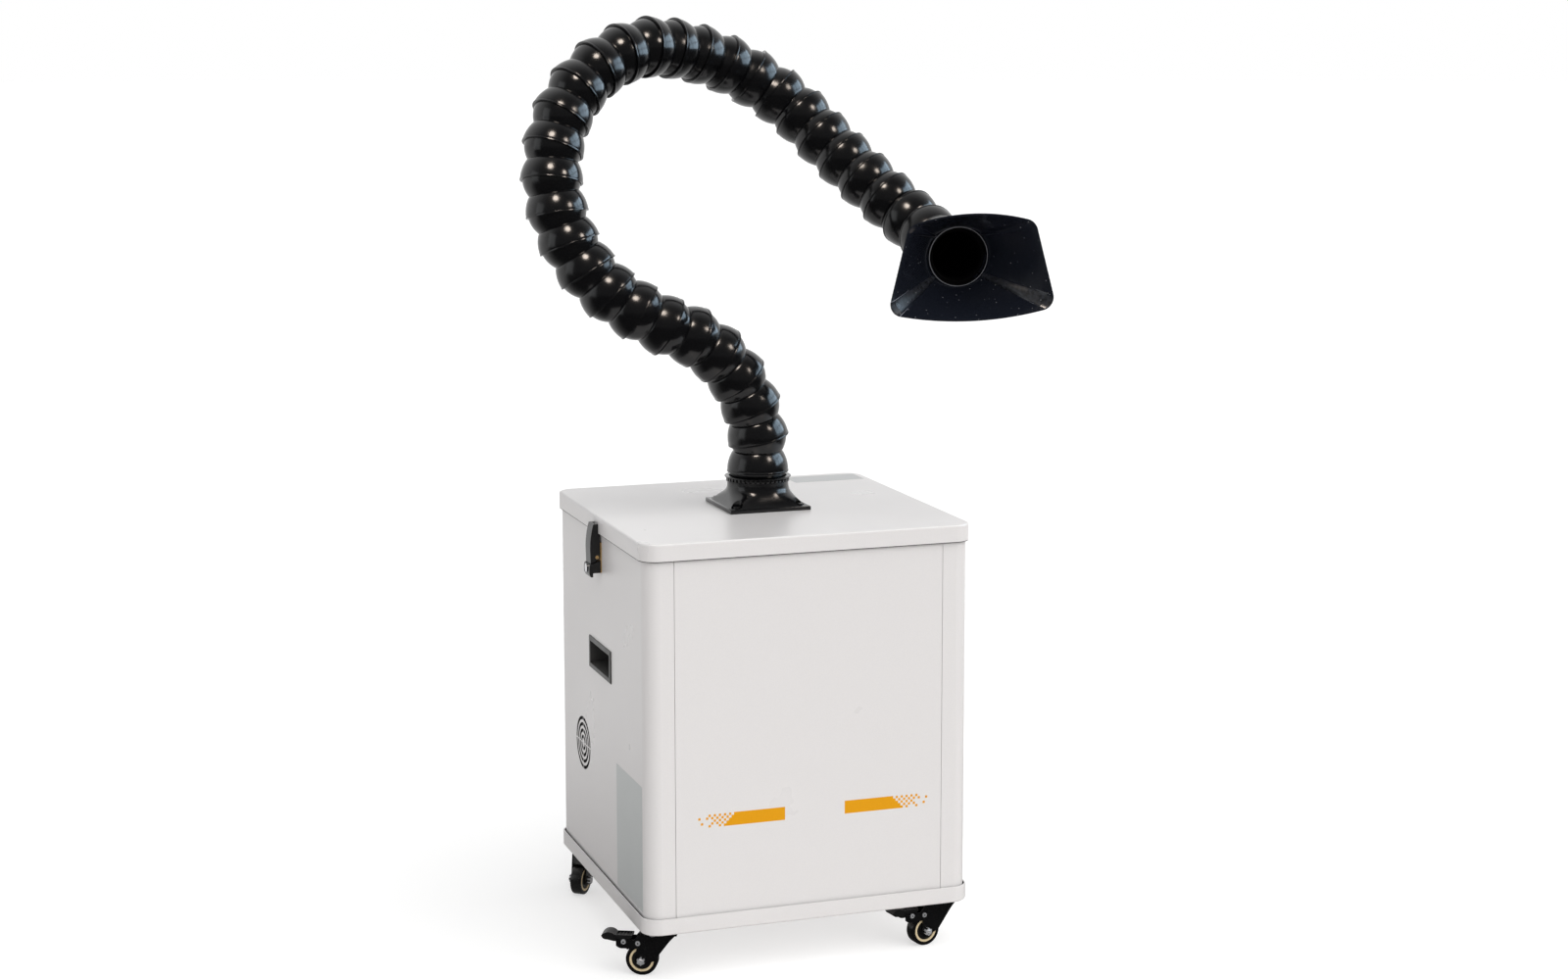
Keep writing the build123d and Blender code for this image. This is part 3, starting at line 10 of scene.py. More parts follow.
import bpy
from mathutils import Matrix, Vector
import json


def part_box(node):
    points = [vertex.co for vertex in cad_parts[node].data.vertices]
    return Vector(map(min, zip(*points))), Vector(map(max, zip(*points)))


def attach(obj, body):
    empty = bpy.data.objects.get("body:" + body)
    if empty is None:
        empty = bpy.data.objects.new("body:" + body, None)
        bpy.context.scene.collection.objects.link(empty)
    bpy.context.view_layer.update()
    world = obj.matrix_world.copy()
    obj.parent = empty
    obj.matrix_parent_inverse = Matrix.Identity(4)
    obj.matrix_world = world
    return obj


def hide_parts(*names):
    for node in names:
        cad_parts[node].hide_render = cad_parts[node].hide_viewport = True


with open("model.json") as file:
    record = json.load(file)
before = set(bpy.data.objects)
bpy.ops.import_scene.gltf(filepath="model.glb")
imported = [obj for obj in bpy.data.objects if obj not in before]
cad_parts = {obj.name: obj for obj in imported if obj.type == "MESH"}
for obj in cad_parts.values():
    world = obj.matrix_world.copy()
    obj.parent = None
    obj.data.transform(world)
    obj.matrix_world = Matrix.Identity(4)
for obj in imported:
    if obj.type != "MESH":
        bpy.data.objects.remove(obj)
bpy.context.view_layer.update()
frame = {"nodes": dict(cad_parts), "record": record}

MM = 0.001
pan_low, pan_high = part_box("base_pan")
CABINET_X = (pan_low.x + pan_high.x) / 2
CABINET_Y = (pan_low.y + pan_high.y) / 2

# The purifier's own sizes, in millimetres and degrees
LID_TOP = 547.5
LID_BOTTOM = 526.0
TRAY_TOP = 80.5
SHEET = 1.5
VENT_Y, VENT_HEIGHT, VENT_REACH = 92.0, 228.0, 36.0
SIDE_FACE = 211.3
FRONT_FACE = 206.3
ARM_X, ARM_Y, BALL_Z = 2.0, 4.0, 598.0
KNUCKLE_PITCH = 41.25
BALL_RADIUS = 37.0
BELL_FOOT = 39.45
BELL_SWEEP = 45.3
BELL_WIDEST = -3.0
VALLEY_RADIUS, VALLEY_HEIGHT = 31.7, 21.6
BALL_END = 13.2
LIP_RADIUS = 39.88
BORE = 29.8
KNUCKLE_SIDES = 88
# Stretches of the arm: how many knuckles, and the degrees that each one leans to the left and to the front
ARM_BENDS = [
    (5, 13.5, 1.0),
    (2, -6.0, -7.0),
    (4, -12.0, -1.5),
    (5, -12.5, -5.0),
    (2, -11.0, -9.5),
    (3, -9.5, 0.5),
    (3, -13.5, 4.0),
    (4, -0.5, 2.0),
    (3, -14.0, 12.0),
]
FIRST_SECTION_COUNT = 2
SECTION_COUNT = 3

# Flange: a square plate, a flare that turns from square to round, four screw pockets and a notched ring
FLANGE_HALF = 54.0
PLATE_HEIGHT = 5.0
FLARE_HALF = 50.0
FLARE_NECK = 39.5
FLARE_TOP = 33.0
POCKET_PLACE = 42.0
POCKET_RADIUS = 7.5
POCKET_FLOOR = 5.2
FLANGE_POINTS, FLANGE_LEVELS = 160, 22

# Clamp ring: radius and height above the flare, from point to point, and its small lugs
RING_BAND = (
    (36.0, 0.0), (40.6, 0.0), (40.9, 0.3), (40.9, 1.5), (40.5, 1.9), (39.4, 1.9), (39.4, 5.6),
    (42.6, 5.8), (43.0, 6.2), (43.0, 6.8), (42.5, 7.2), (37.5, 7.2), (36.4, 3.0),
)
LUG_COUNT = 40
LUG_SIZES = (1.9, 3.4, 4.0)
LUG_OUT, LUG_RISE = 39.9, 3.7

# Hood, measured along its own axis from the centre of the last ball
HOOD_START = 32.0
HOOD_END = 112.0
HOOD_WALL = 2.2
SLEEVE_START = 19.8
SLEEVE_RADIUS = 36.7
SLEEVE_BORE = 33.7
SPIGOT_RADIUS = 33.6
SPIGOT_END = 34.0
MOUTH_TOP = (80.0, 64.7, 16.0, 9.5)
MOUTH_BOTTOM = (107.0, 69.0, 12.0, 17.0)
STRIP_BULGE = 0.35
# Rim of the throat: inner and outer radius, foot and top
THROAT_RIM = (36.4, 37.9, 36.8, 41.2)
HOOD_RINGS = 14
# Points of the mouth's outline: top, corner, side, corner, bottom, corner, side, corner
HOOD_COUNTS = (40, 20, 26, 20, 44, 20, 26, 20)
# Columns of the hood's grid: the strips painted lighter for dust and a painted reflection, and the creases
# painted pale as their highlight, with their rings
DUST_AND_REFLECTION_COLUMNS = ((89, 103), (155, 168))
PAINTED_HIGHLIGHT_CREASES = {169: (1, 14), 215: (2, 10), 86: (1, 9), 105: (2, 12), 150: (3, 14), 40: (2, 6)}
THROAT_ANGLES = (133.0, 47.0, 42.0, -38.0, -43.0, -137.0, 218.0, 138.0)
HOOD_ROLL = 1.6

# Casters: place of the swivel axis and the direction in which each one trails
CASTERS = {
    "front_left": (-185.0, -177.0, 154.0),
    "front_right": (185.0, -177.0, 189.0),
    "rear_left": (-185.0, 177.0, 231.5),
    "rear_right": (185.0, 177.0, 120.0),
}
TRAIL = 24.0
WHEEL_RADIUS = 20.0
WHEEL_HALF = 7.5
HUB_RADIUS = 15.4
HUB_RIM = 3.0
CHEEK_OUTSIDE = 11.0
AXLE_HEAD = 4.5
NUT_RADIUS = 5.42
RIVET = [(0.9, -0.5), (3.25, -0.5), (3.25, 0.35), (2.9, 0.85), (2.2, 1.05), (1.15, 1.05), (0.9, 0.4)]
BRAKE_RIVETS = ((28.0, 41.8), (46.0, 43.2))

# The front's stripe: cells of one screen, the bars' ends and each row's loose cells, from the lowest row up
STRIPE_CELL = 3.3
STRIPE_LOW = 190.3
STRIPE_BARS = ((-1, -113.0, -33.5), (1, 123.0, 45.0))
LOOSE_CELLS = ((2, 6), (2, 4, 6, 10), (2, 4, 6), (2, 4, 6, 8, 10, 13), (2, 4, 6, 8, 10))

# Blank plates: two corners each, on the left side and on the lid
SIDE_PLATE = ((-187.0, 85.0), (-71.0, 243.0))
LID_PLATE = ((106.0, 152.0), (205.0, 195.0))

# Edge seals, black strips that paint the shadow lines in the gaps: half widths, corner radius, foot, top
# and wall
LID_SHADOW_SEAL = (214.6, 209.6, 22.1, LID_BOTTOM - 0.9, LID_BOTTOM + 2.0, 3.0)
TRAY_SHADOW_SEAL = (213.6, 208.6, 21.1, TRAY_TOP - 4.0, TRAY_TOP - 1.2, 2.2)
PAD_RADIUS, PAD_THICKNESS, PAD_GAP = 36.5, 2.0, 1.2

# The photograph's viewpoint: place in millimetres, and the directions to the right, up and back
CAMERA_PLACE = (-1073.50, -3214.60, 1155.70)
CAMERA_AXES = ((0.9437, -0.3310, 0.0), (0.0466, 0.1330, 0.9900), (-0.32763, -0.93425, 0.14088))
FOCAL_LENGTH, SENSOR_WIDTH = 61.03, 36.0
SHIFT_X, SHIFT_Y = -0.0080, -0.0513

# Studio lamps: direction from the object, distance and size in metres, radiance
KEY_DIRECTION = (-0.3, 0.56, -0.8)
WARM_LAMPS = (
    ("warm_lamp_left", (-0.273, -0.502, 0.820), 2.8, 0.80, 24.0),
    ("warm_lamp_right", (0.506, -0.677, 0.534), 3.6, 0.80, 18.0),
)
WARM_WHITE = (1.0, 0.87, 0.76)
WALL_DIRECTION = (-0.97, -0.12, 0.20)
WINDOW_DIRECTION = (0.919, -0.126, 0.3725)
PANE_WIDTH, PANE_HEIGHT = 0.77, 0.72
PANE_STEP, PANE_RISE = 0.84, 0.40
DAYLIGHT = (0.62, 0.82, 1.0)
WHITE = (1, 1, 1, 1)

# Dust on the plastic
DUST_COLOUR = "8A8C8E"
DUST_SPACING = 9.0


def at(x, y, z):
    """A place in metres from millimetres off the cabinet's centre line and above the floor."""
    return Vector((CABINET_X + x * MM, CABINET_Y + y * MM, z * MM))


# Studio: camera, white cove and soft light


def stand(name, data):
    """Puts a camera or a lamp into the scene."""
    item = bpy.data.objects.new(name, data)
    bpy.context.scene.collection.objects.link(item)
    return item


def stand_camera():
    """The photograph's own viewpoint: a little above the lid, in front and to the left of the cabinet."""
    lens = bpy.data.cameras.new("camera")
    camera = stand("camera", lens)
    turn = Matrix(CAMERA_AXES).transposed().to_4x4()
    camera.matrix_world = Matrix.Translation(at(*CAMERA_PLACE)) @ turn
    lens.lens = FOCAL_LENGTH
    lens.sensor_width = SENSOR_WIDTH
    lens.shift_x = SHIFT_X
    lens.shift_y = SHIFT_Y
    lens.clip_start = 0.05
    lens.clip_end = 100.0
    bpy.context.scene.camera = camera


def linear(hex_colour):
    """An sRGB hex colour as the linear values that the shaders use."""
    parts = [int(hex_colour[i : i + 2], 16) / 255 for i in (0, 2, 4)]
    return tuple(c / 12.92 if c <= 0.04045 else ((c + 0.055) / 1.055) ** 2.4 for c in parts) + (1.0,)


def empty_tree(owner):
    """The node tree of a material or world, with nothing in it yet."""
    owner.use_nodes = True
    owner.node_tree.nodes.clear()
    return owner.node_tree


def put(tree, socket, value):
    """Sets a socket: a link where the value is another node's output, its own value otherwise."""
    if isinstance(value, bpy.types.NodeSocket):
        tree.links.new(value, socket)
    else:
        socket.default_value = value


def add(tree, kind, sockets=None, **settings):
    """Adds a node with its settings and the values of its sockets."""
    node = tree.nodes.new(kind)
    for name, value in settings.items():
        setattr(node, name, value)
    for name, value in (sockets or {}).items():
        put(tree, node.inputs[name], value)
    return node


def ramp(tree, value, start, end, low, high, **settings):
    """A value that runs from low to high while another one runs from start to end."""
    spans = {"Value": value, "From Min": start, "From Max": end, "To Min": low, "To Max": high}
    return add(tree, "ShaderNodeMapRange", spans, **settings).outputs[0]


def noise(tree, place, grain_mm, detail):
    """Noise whose grains have a size in millimetres."""
    sockets = {"Vector": place, "Scale": 1 / (grain_mm * MM), "Detail": detail}
    return add(tree, "ShaderNodeTexNoise", sockets).outputs["Fac"]


def plain_view(tree):
    """Two values: one where the camera or a transmitted ray looks, and one where a mirrored ray does."""
    ray = add(tree, "ShaderNodeLightPath")
    looks = {0: ray.outputs["Is Camera Ray"], 1: ray.outputs["Is Transmission Ray"]}
    straight = add(tree, "ShaderNodeMath", looks, operation="MAXIMUM")
    return straight.outputs[0], ray.outputs["Is Glossy Ray"]


def light_world():
    """A white cove behind the object and a dimmer room in front of it, as its gloss shows them."""
    scene = bpy.context.scene
    scene.view_settings.view_transform = "Standard"
    world = bpy.data.worlds.new("studio")
    scene.world = world
    tree = empty_tree(world)
    straight, mirrored = plain_view(tree)
    place = add(tree, "ShaderNodeTexCoord")
    split = add(tree, "ShaderNodeSeparateXYZ", {0: place.outputs["Generated"]})
    depth = ramp(tree, split.outputs["Y"], -0.45, 0.65, 0.13, 1.00, interpolation_type="SMOOTHSTEP")
    grey = {"Red": depth, "Green": depth, "Blue": depth}
    room = add(tree, "ShaderNodeCombineColor", grey)
    lit = add(tree, "ShaderNodeBackground", {"Color": (0.98, 0.99, 1.0, 1.0), "Strength": 0.40})
    seen = add(tree, "ShaderNodeBackground", {"Color": room.outputs[0], "Strength": 1.0})
    white = add(tree, "ShaderNodeBackground", {"Color": WHITE, "Strength": 1.0})
    glossy = add(tree, "ShaderNodeMixShader", {0: mirrored, 1: lit.outputs[0], 2: seen.outputs[0]})
    whole = add(tree, "ShaderNodeMixShader", {0: straight, 1: glossy.outputs[0], 2: white.outputs[0]})
    add(tree, "ShaderNodeOutputWorld", {"Surface": whole.outputs[0]})


def hang_lamp(name, direction, distance, size, radiance, colour, height=None):
    """A lamp that shows in the gloss only, in a direction from the middle of the object."""
    round_lamp = height is None
    data = bpy.data.lights.new(name, "AREA")
    data.shape = "DISK" if round_lamp else "RECTANGLE"
    data.size = size
    area = math.pi * size**2 / 4
    if not round_lamp:
        data.size_y = height
        area = size * height
    data.energy = radiance * math.pi * area
    data.color = colour
    lamp = stand(name, data)
    target = at(0, 0, 700)
    lamp.location = target + Vector(direction).normalized() * distance
    lamp.rotation_mode = "QUATERNION"
    lamp.rotation_quaternion = (target - lamp.location).to_track_quat("-Z", "Y")
    lamp.visible_diffuse = False
    return lamp


def light_studio():
    """A soft key from the front right, two warm round lamps and a window with two rows of panes."""
    light_world()
    key = bpy.data.lights.new("soft_key", "SUN")
    key.energy = 2.5
    key.angle = math.radians(80)
    key.color = (1.0, 0.99, 0.975)
    key_object = stand("soft_key", key)
    key_object.rotation_mode = "QUATERNION"
    key_object.rotation_quaternion = Vector(KEY_DIRECTION).to_track_quat("-Z", "Y")
    key_object.visible_glossy = False
    for name, direction, distance, size, radiance in WARM_LAMPS:
        hang_lamp(name, direction, distance, size, radiance, WARM_WHITE)
    hang_lamp("left_wall", WALL_DIRECTION, 3.6, 1.7, 0.75, (0.95, 0.98, 1.0), height=2.2)
    window = Vector(WINDOW_DIRECTION).normalized()
    across = Vector((0, 0, 1)).cross(window).normalized()
    upward = window.cross(across)
    for column in (-1, 0, 1):
        for row in (-1, 1):
            pane = window * 3.0 + across * column * PANE_STEP + upward * row * PANE_RISE
            hang_lamp("window_pane", pane, pane.length, PANE_WIDTH, 5.0, DAYLIGHT, height=PANE_HEIGHT)


def lay_floor():
    """A white studio floor that keeps the object's soft shadow."""
    bpy.ops.object.select_all(action="DESELECT")
    bpy.ops.mesh.primitive_circle_add(vertices=96, radius=60.0, fill_type="NGON", location=(0, 0, 0))
    floor = bpy.context.object
    floor.name = "studio_floor"
    finish = bpy.data.materials.new("matt_white_studio_floor")
    tree = empty_tree(finish)
    straight, mirrored = plain_view(tree)
    matt = add(tree, "ShaderNodeBsdfDiffuse", {"Color": linear("C4C4C4")})
    glow = add(tree, "ShaderNodeEmission", {"Color": WHITE, "Strength": 0.56})
    both = add(tree, "ShaderNodeAddShader", {0: matt.outputs[0], 1: glow.outputs[0]})
    # In front of the object the floor of the room is darker, as the gloss shows it
    place = add(tree, "ShaderNodeTexCoord")
    split = add(tree, "ShaderNodeSeparateXYZ", {0: place.outputs["Object"]})
    depth = ramp(tree, split.outputs["Y"], -0.2, 1.2, 0.05, 0.90, interpolation_type="SMOOTHSTEP")
    seen = add(tree, "ShaderNodeEmission", {"Color": WHITE, "Strength": depth})
    # The white floor throws warm light back onto the lower sides
    warmth = add(tree, "ShaderNodeEmission", {"Color": (1.0, 0.93, 0.88, 1), "Strength": 0.29})
    bounce = add(tree, "ShaderNodeAddShader", {0: matt.outputs[0], 1: warmth.outputs[0]})
    reflected = add(tree, "ShaderNodeMixShader", {0: mirrored, 1: bounce.outputs[0], 2: seen.outputs[0]})
    whole = add(tree, "ShaderNodeMixShader", {0: straight, 1: reflected.outputs[0], 2: both.outputs[0]})
    add(tree, "ShaderNodeOutputMaterial", {"Surface": whole.outputs[0]})
    floor.data.materials.append(finish)


# Finishes


def finish_named(
    name, colour, roughness, metallic=0.0, relief_mm=0.0, grain_mm=1.0, speckle=0.0, speck_mm=1.2,
    smudge=0.03, smudge_mm=40.0, dust=0.0, specular=0.5,
):
    """A finish in object coordinates: its colour with fine specks, smudged gloss and a fine relief.
    Dust is a share of pale specks that lie on the surface."""
    material = bpy.data.materials.new(name)
    tree = empty_tree(material)
    place = add(tree, "ShaderNodeTexCoord").outputs["Object"]
    shader = add(tree, "ShaderNodeBsdfPrincipled", {"Metallic": metallic, "Specular IOR Level": specular})
    surface = linear(colour)
    if speckle:
        tone = add(tree, "ShaderNodeValToRGB", {"Fac": noise(tree, place, speck_mm, 2.0)})
        tone.color_ramp.elements[0].position = 0.36
        tone.color_ramp.elements[0].color = [c * (1 - speckle) for c in surface[:3]] + [1.0]
        tone.color_ramp.elements[1].position = 0.64
        tone.color_ramp.elements[1].color = [min(c * (1 + speckle), 1.0) for c in surface[:3]] + [1.0]
        surface = tone.outputs["Color"]
    patches = noise(tree, place, smudge_mm, 4.0)
    gloss = ramp(tree, patches, 0.3, 0.7, max(roughness - smudge, 0.03), roughness + smudge)
    if dust:
        spread = {"Vector": place, "Scale": 1 / (DUST_SPACING * MM)}
        cells = add(tree, "ShaderNodeTexVoronoi", spread)
        spot = ramp(tree, cells.outputs["Distance"], 0.06, 0.11, dust, 0.0)
        dusty = add(tree, "ShaderNodeMix", {0: spot}, data_type="RGBA")
        put(tree, dusty.inputs[6], surface)
        put(tree, dusty.inputs[7], linear(DUST_COLOUR))
        surface = dusty.outputs[2]
    put(tree, shader.inputs["Base Color"], surface)
    put(tree, shader.inputs["Roughness"], gloss)
    if relief_mm:
        grain = noise(tree, place, grain_mm, 3.0)
        relief = {"Height": grain, "Distance": relief_mm * MM, "Strength": 1.0}
        tree.links.new(add(tree, "ShaderNodeBump", relief).outputs[0], shader.inputs["Normal"])
    add(tree, "ShaderNodeOutputMaterial", {"Surface": shader.outputs[0]})
    return material


def mix_finishes():
    """Every finish of the purifier, by its plain name."""
    return {
        # Epoxy polyester powder: semi gloss, with the fine orange peel that a baked powder leaves
        "powder_coat": finish_named(
            "light_grey_powder_coat", "E0DEDE", 0.30, relief_mm=0.03, grain_mm=1.5, speckle=0.01,
            smudge_mm=90,
        ),
        # Injection moulded ABS from a polished mould: near black, mirror like with a slight haze
        "gloss_abs": finish_named(
            "gloss_black_moulded_abs", "09090B", 0.19, relief_mm=0.01, grain_mm=5.0, smudge=0.05,
            smudge_mm=25,
        ),
        # The hood: the same ABS, with dust on it
        "hood_abs": finish_named(
            "gloss_black_hood_abs", "171A22", 0.2, relief_mm=0.015, grain_mm=7.0, smudge=0.06,
            smudge_mm=30, dust=0.6,
        ),
        # The same ABS with dust and scuffs, made lighter as a painted reflection on the hood's corner
        # strips
        "dust_and_reflection_abs": finish_named(
            "dusty_scuffed_black_abs_painted_reflection", "24262B", 0.3, relief_mm=0.03, grain_mm=3.0, speckle=0.45,
            speck_mm=5.0, smudge=0.1, smudge_mm=12, dust=0.7,
        ),
        # Matt inside of the air bore
        "bore_abs": finish_named("matt_black_abs_bore", "060607", 0.75, speckle=0.1, specular=0.15),
        # Fold of the hood: a pale grey, a painted highlight along its crease
        "crease_painted_highlight": finish_named(
            "pale_abs_crease_painted_highlight", "7D8088", 0.35, speckle=0.3, speck_mm=6.0, smudge=0.1,
        ),
        # Rim of the throat, pale grey
        "pale_rim": finish_named(
            "pale_grey_abs_rim", "8F9197", 0.4, relief_mm=0.02, speckle=0.05, smudge=0.08,
        ),
        # Spark eroded mould texture on black nylon
        "textured_nylon": finish_named(
            "textured_black_nylon", "151515", 0.4, relief_mm=0.05, grain_mm=0.9, speckle=0.1,
            smudge=0.06,
        ),
        "satin_abs": finish_named(
            "satin_black_moulded_abs", "101011", 0.3, relief_mm=0.015, grain_mm=0.8, speckle=0.05,
            smudge=0.05,
        ),
        # Moulded handle: dark grey ABS
        "handle_abs": finish_named(
            "dark_grey_moulded_abs", "3A3938", 0.42, relief_mm=0.03, grain_mm=0.8, speckle=0.04,
            smudge=0.05,
        ),
        # Black stoved enamel on pressed steel
        "black_enamel": finish_named(
            "black_stoved_enamel", "0B0B0C", 0.26, relief_mm=0.02, grain_mm=2.0, speckle=0.05,
            smudge=0.08, smudge_mm=12,
        ),
        # Blue white passivated zinc
        "zinc": finish_named(
            "bright_zinc_plate", "C9CBCE", 0.34, metallic=0.6, relief_mm=0.01, grain_mm=0.8,
            speckle=0.08, smudge=0.1, smudge_mm=4,
        ),
        # Solid tread: smooth black polyurethane, a little shiny
        "tread": finish_named(
            "smooth_black_polyurethane", "0C0C0C", 0.25, relief_mm=0.02, grain_mm=2.0, speckle=0.06,
            smudge=0.1, smudge_mm=10,
        ),
        # Unpainted nylon hub, cream with age
        "nylon": finish_named(
            "cream_moulded_nylon", "D9C7A2", 0.4, relief_mm=0.02, grain_mm=1.0, speckle=0.05,
            smudge=0.08, smudge_mm=8,
        ),
        # Closed cell foam
        "foam": finish_named(
            "black_closed_cell_foam", "1B1B1B", 0.9, relief_mm=0.2, grain_mm=0.8, speckle=0.2,
        ),
        # Carbon granules
        "carbon": finish_named(
            "activated_carbon_granules", "151515", 0.75, relief_mm=1.2, grain_mm=2.5, speckle=0.3,
        ),
        # Glass paper
        "paper": finish_named(
            "white_filter_paper", "E6E4DE", 0.85, relief_mm=0.1, grain_mm=0.7, speckle=0.03,
        ),
        # Cast motor shell
        "cast_aluminium": finish_named(
            "cast_aluminium", "B7B9BC", 0.45, metallic=1.0, relief_mm=0.08, grain_mm=1.5, speckle=0.05,
        ),
        # Worn brass
        "brass": finish_named(
            "worn_stamped_brass", "CDAA74", 0.3, metallic=0.8, relief_mm=0.02, speckle=0.1, smudge=0.12,
            smudge_mm=5,
        ),
        # Chrome plated zinc casting
        "chrome": finish_named(
            "polished_chrome_plate", "CFCFD2", 0.12, metallic=1.0, speckle=0.03, smudge=0.05,
            smudge_mm=3,
        ),
        # Yellow screen printing ink on the front
        "yellow_ink": finish_named("yellow_screen_ink", "E09B00", 0.55, speckle=0.02, specular=0.2),
        # Blank aluminium and film plates
        "plate_film": finish_named(
            "blank_grey_plate_film", "C4C8C8", 0.38, relief_mm=0.01, grain_mm=2.0, speckle=0.015,
        ),
        "lid_film": finish_named(
            "blank_silver_plate_film", "B9BBBC", 0.35, relief_mm=0.01, grain_mm=2.0, speckle=0.02,
        ),
    }


FINISH_OF_SLOT = {
    "cabinet_paint": "powder_coat",
    "arm_plastic": "gloss_abs",
    "black_plastic": "satin_abs",
    "handle_plastic": "handle_abs",
    "caster_black": "black_enamel",
    "zinc_steel": "zinc",
    "tyre_rubber": "tread",
    "hub_nylon": "nylon",
    "gasket_foam": "foam",
    "carbon_grain": "carbon",
    "filter_paper": "paper",
    "motor_aluminium": "cast_aluminium",
    "latch_brass": "brass",
    "latch_chrome": "chrome",
}


def paint_slot_shade(paint):
    """The paint of a vented side panel, with painted shade: the walls of its narrow slots are painted near
    black where they lie in the dark.
    """
    vented = paint.copy()
    vented.name = "light_grey_powder_coat_painted_slot_shade"
    tree = vented.node_tree
    shader = next(node for node in tree.nodes if node.type == "BSDF_PRINCIPLED")
    place = add(tree, "ShaderNodeTexCoord")
    flat = {0: place.outputs["Object"], 1: (0.0, 1.0, 1.0)}
    across = add(tree, "ShaderNodeVectorMath", flat, operation="MULTIPLY")
    middle = at(0, VENT_Y, VENT_HEIGHT)
    reach = {0: across.outputs[0], 1: (0.0, middle.y, middle.z)}
    distance = add(tree, "ShaderNodeVectorMath", reach, operation="DISTANCE")
    near = add(
        tree, "ShaderNodeMath", {0: distance.outputs["Value"], 1: VENT_REACH * MM},
        operation="LESS_THAN",
    )
    facing = add(tree, "ShaderNodeSeparateXYZ", {0: place.outputs["Normal"]})
    size = add(tree, "ShaderNodeMath", {0: facing.outputs["X"]}, operation="ABSOLUTE")
    edgewise = add(tree, "ShaderNodeMath", {0: size.outputs[0], 1: 0.7}, operation="LESS_THAN")
    # Painted shade: faces near the vent's axis that look across the panel get a near black colour
    dark = add(tree, "ShaderNodeMath", {0: near.outputs[0], 1: edgewise.outputs[0]}, operation="MULTIPLY")
    both = add(tree, "ShaderNodeMix", {0: dark.outputs[0]}, data_type="RGBA")
    tree.links.new(shader.inputs["Base Color"].links[0].from_socket, both.inputs[6])
    both.inputs[7].default_value = linear("141414")
    tree.links.new(both.outputs[2], shader.inputs["Base Color"])
    return vented


def paint_solids(finishes):
    """Gives each solid of the part the finish of its slot."""
    slots = {part["node"]: part["material_slot"] for part in frame["record"]["subparts"]}
    for name, solid in frame["nodes"].items():
        finish = finishes[FINISH_OF_SLOT[slots[name]]]
        # The side panels take the paint with the painted shade in their vent slots
        if name.endswith("side_panel"):
            finish = finishes["vented_powder_coat"]
        if name.endswith("brake_pedal"):
            finish = finishes["textured_nylon"]
        if name == "flange_screws":
            finish = finishes["black_enamel"]
        if not solid.data.materials:
            solid.data.materials.append(finish)
        for index in range(len(solid.material_slots)):
            solid.material_slots[index].material = finish


# Shaping by hand: turning, joining and placing


def lie_active(piece):
    """Makes one piece the only selected and active one."""
    bpy.ops.object.select_all(action="DESELECT")
    piece.select_set(True)
    bpy.context.view_layer.objects.active = piece


def face_outward(piece):
    """Turns the faces of a piece to the outside."""
    lie_active(piece)
    bpy.ops.object.mode_set(mode="EDIT")
    bpy.ops.mesh.select_all(action="SELECT")
    bpy.ops.mesh.normals_make_consistent(inside=False)
    bpy.ops.object.mode_set(mode="OBJECT")


def ring_of(points, radius, fill="NOTHING"):
    """A flat circle of points, in millimetres, from which a shape is drawn."""
    bpy.ops.object.select_all(action="DESELECT")
    size = radius * MM
    bpy.ops.mesh.primitive_circle_add(vertices=points, radius=size, fill_type=fill, location=(0, 0, 0))
    return bpy.context.object


def draw_up(steps, rise):
    """Extrudes the whole outline of the active piece upward, step by step."""
    bpy.ops.object.mode_set(mode="EDIT")
    bpy.ops.mesh.select_all(action="SELECT")
    for _ in range(steps):
        bpy.ops.mesh.extrude_region_move(TRANSFORM_OT_translate={"value": (0, 0, rise)})
    bpy.ops.object.mode_set(mode="OBJECT")


def break_edges(piece, width_mm, segments=2, angle=30.0):
    """Rounds the edges that are sharper than an angle, as a mould or a press leaves them."""
    lie_active(piece)
    edge = piece.modifiers.new("edge", "BEVEL")
    edge.width = width_mm * MM
    edge.segments = segments
    edge.limit_method = "ANGLE"
    edge.angle_limit = math.radians(angle)
    bpy.ops.object.modifier_apply(modifier=edge.name)


def thicken(piece, wall_mm, even=False):
    """Gives a sheet its wall, inward from its outside."""
    lie_active(piece)
    wall = piece.modifiers.new("wall", "SOLIDIFY")
    wall.thickness = wall_mm * MM
    wall.offset = -1.0
    wall.use_even_offset = even
    bpy.ops.object.modifier_apply(modifier=wall.name)


def cylinder(sides, radius, depth, middle=(0, 0, 0)):
    """An upright cylinder of sizes in millimetres round a place in metres."""
    bpy.ops.object.select_all(action="DESELECT")
    size = {"radius": radius * MM, "depth": depth * MM}
    bpy.ops.mesh.primitive_cylinder_add(vertices=sides, location=middle, **size)
    bpy.ops.object.transform_apply()
    return bpy.context.object


def block(name, middle, sizes, edge_mm=0.0, segments=2):
    """A block round a place in metres, of sizes in millimetres, with broken edges."""
    bpy.ops.object.select_all(action="DESELECT")
    bpy.ops.mesh.primitive_cube_add(size=1.0, location=middle)
    piece = bpy.context.object
    piece.name = name
    bpy.ops.transform.resize(value=[size * MM for size in sizes])
    bpy.ops.object.transform_apply()
    if edge_mm:
        break_edges(piece, edge_mm, segments)
    return piece


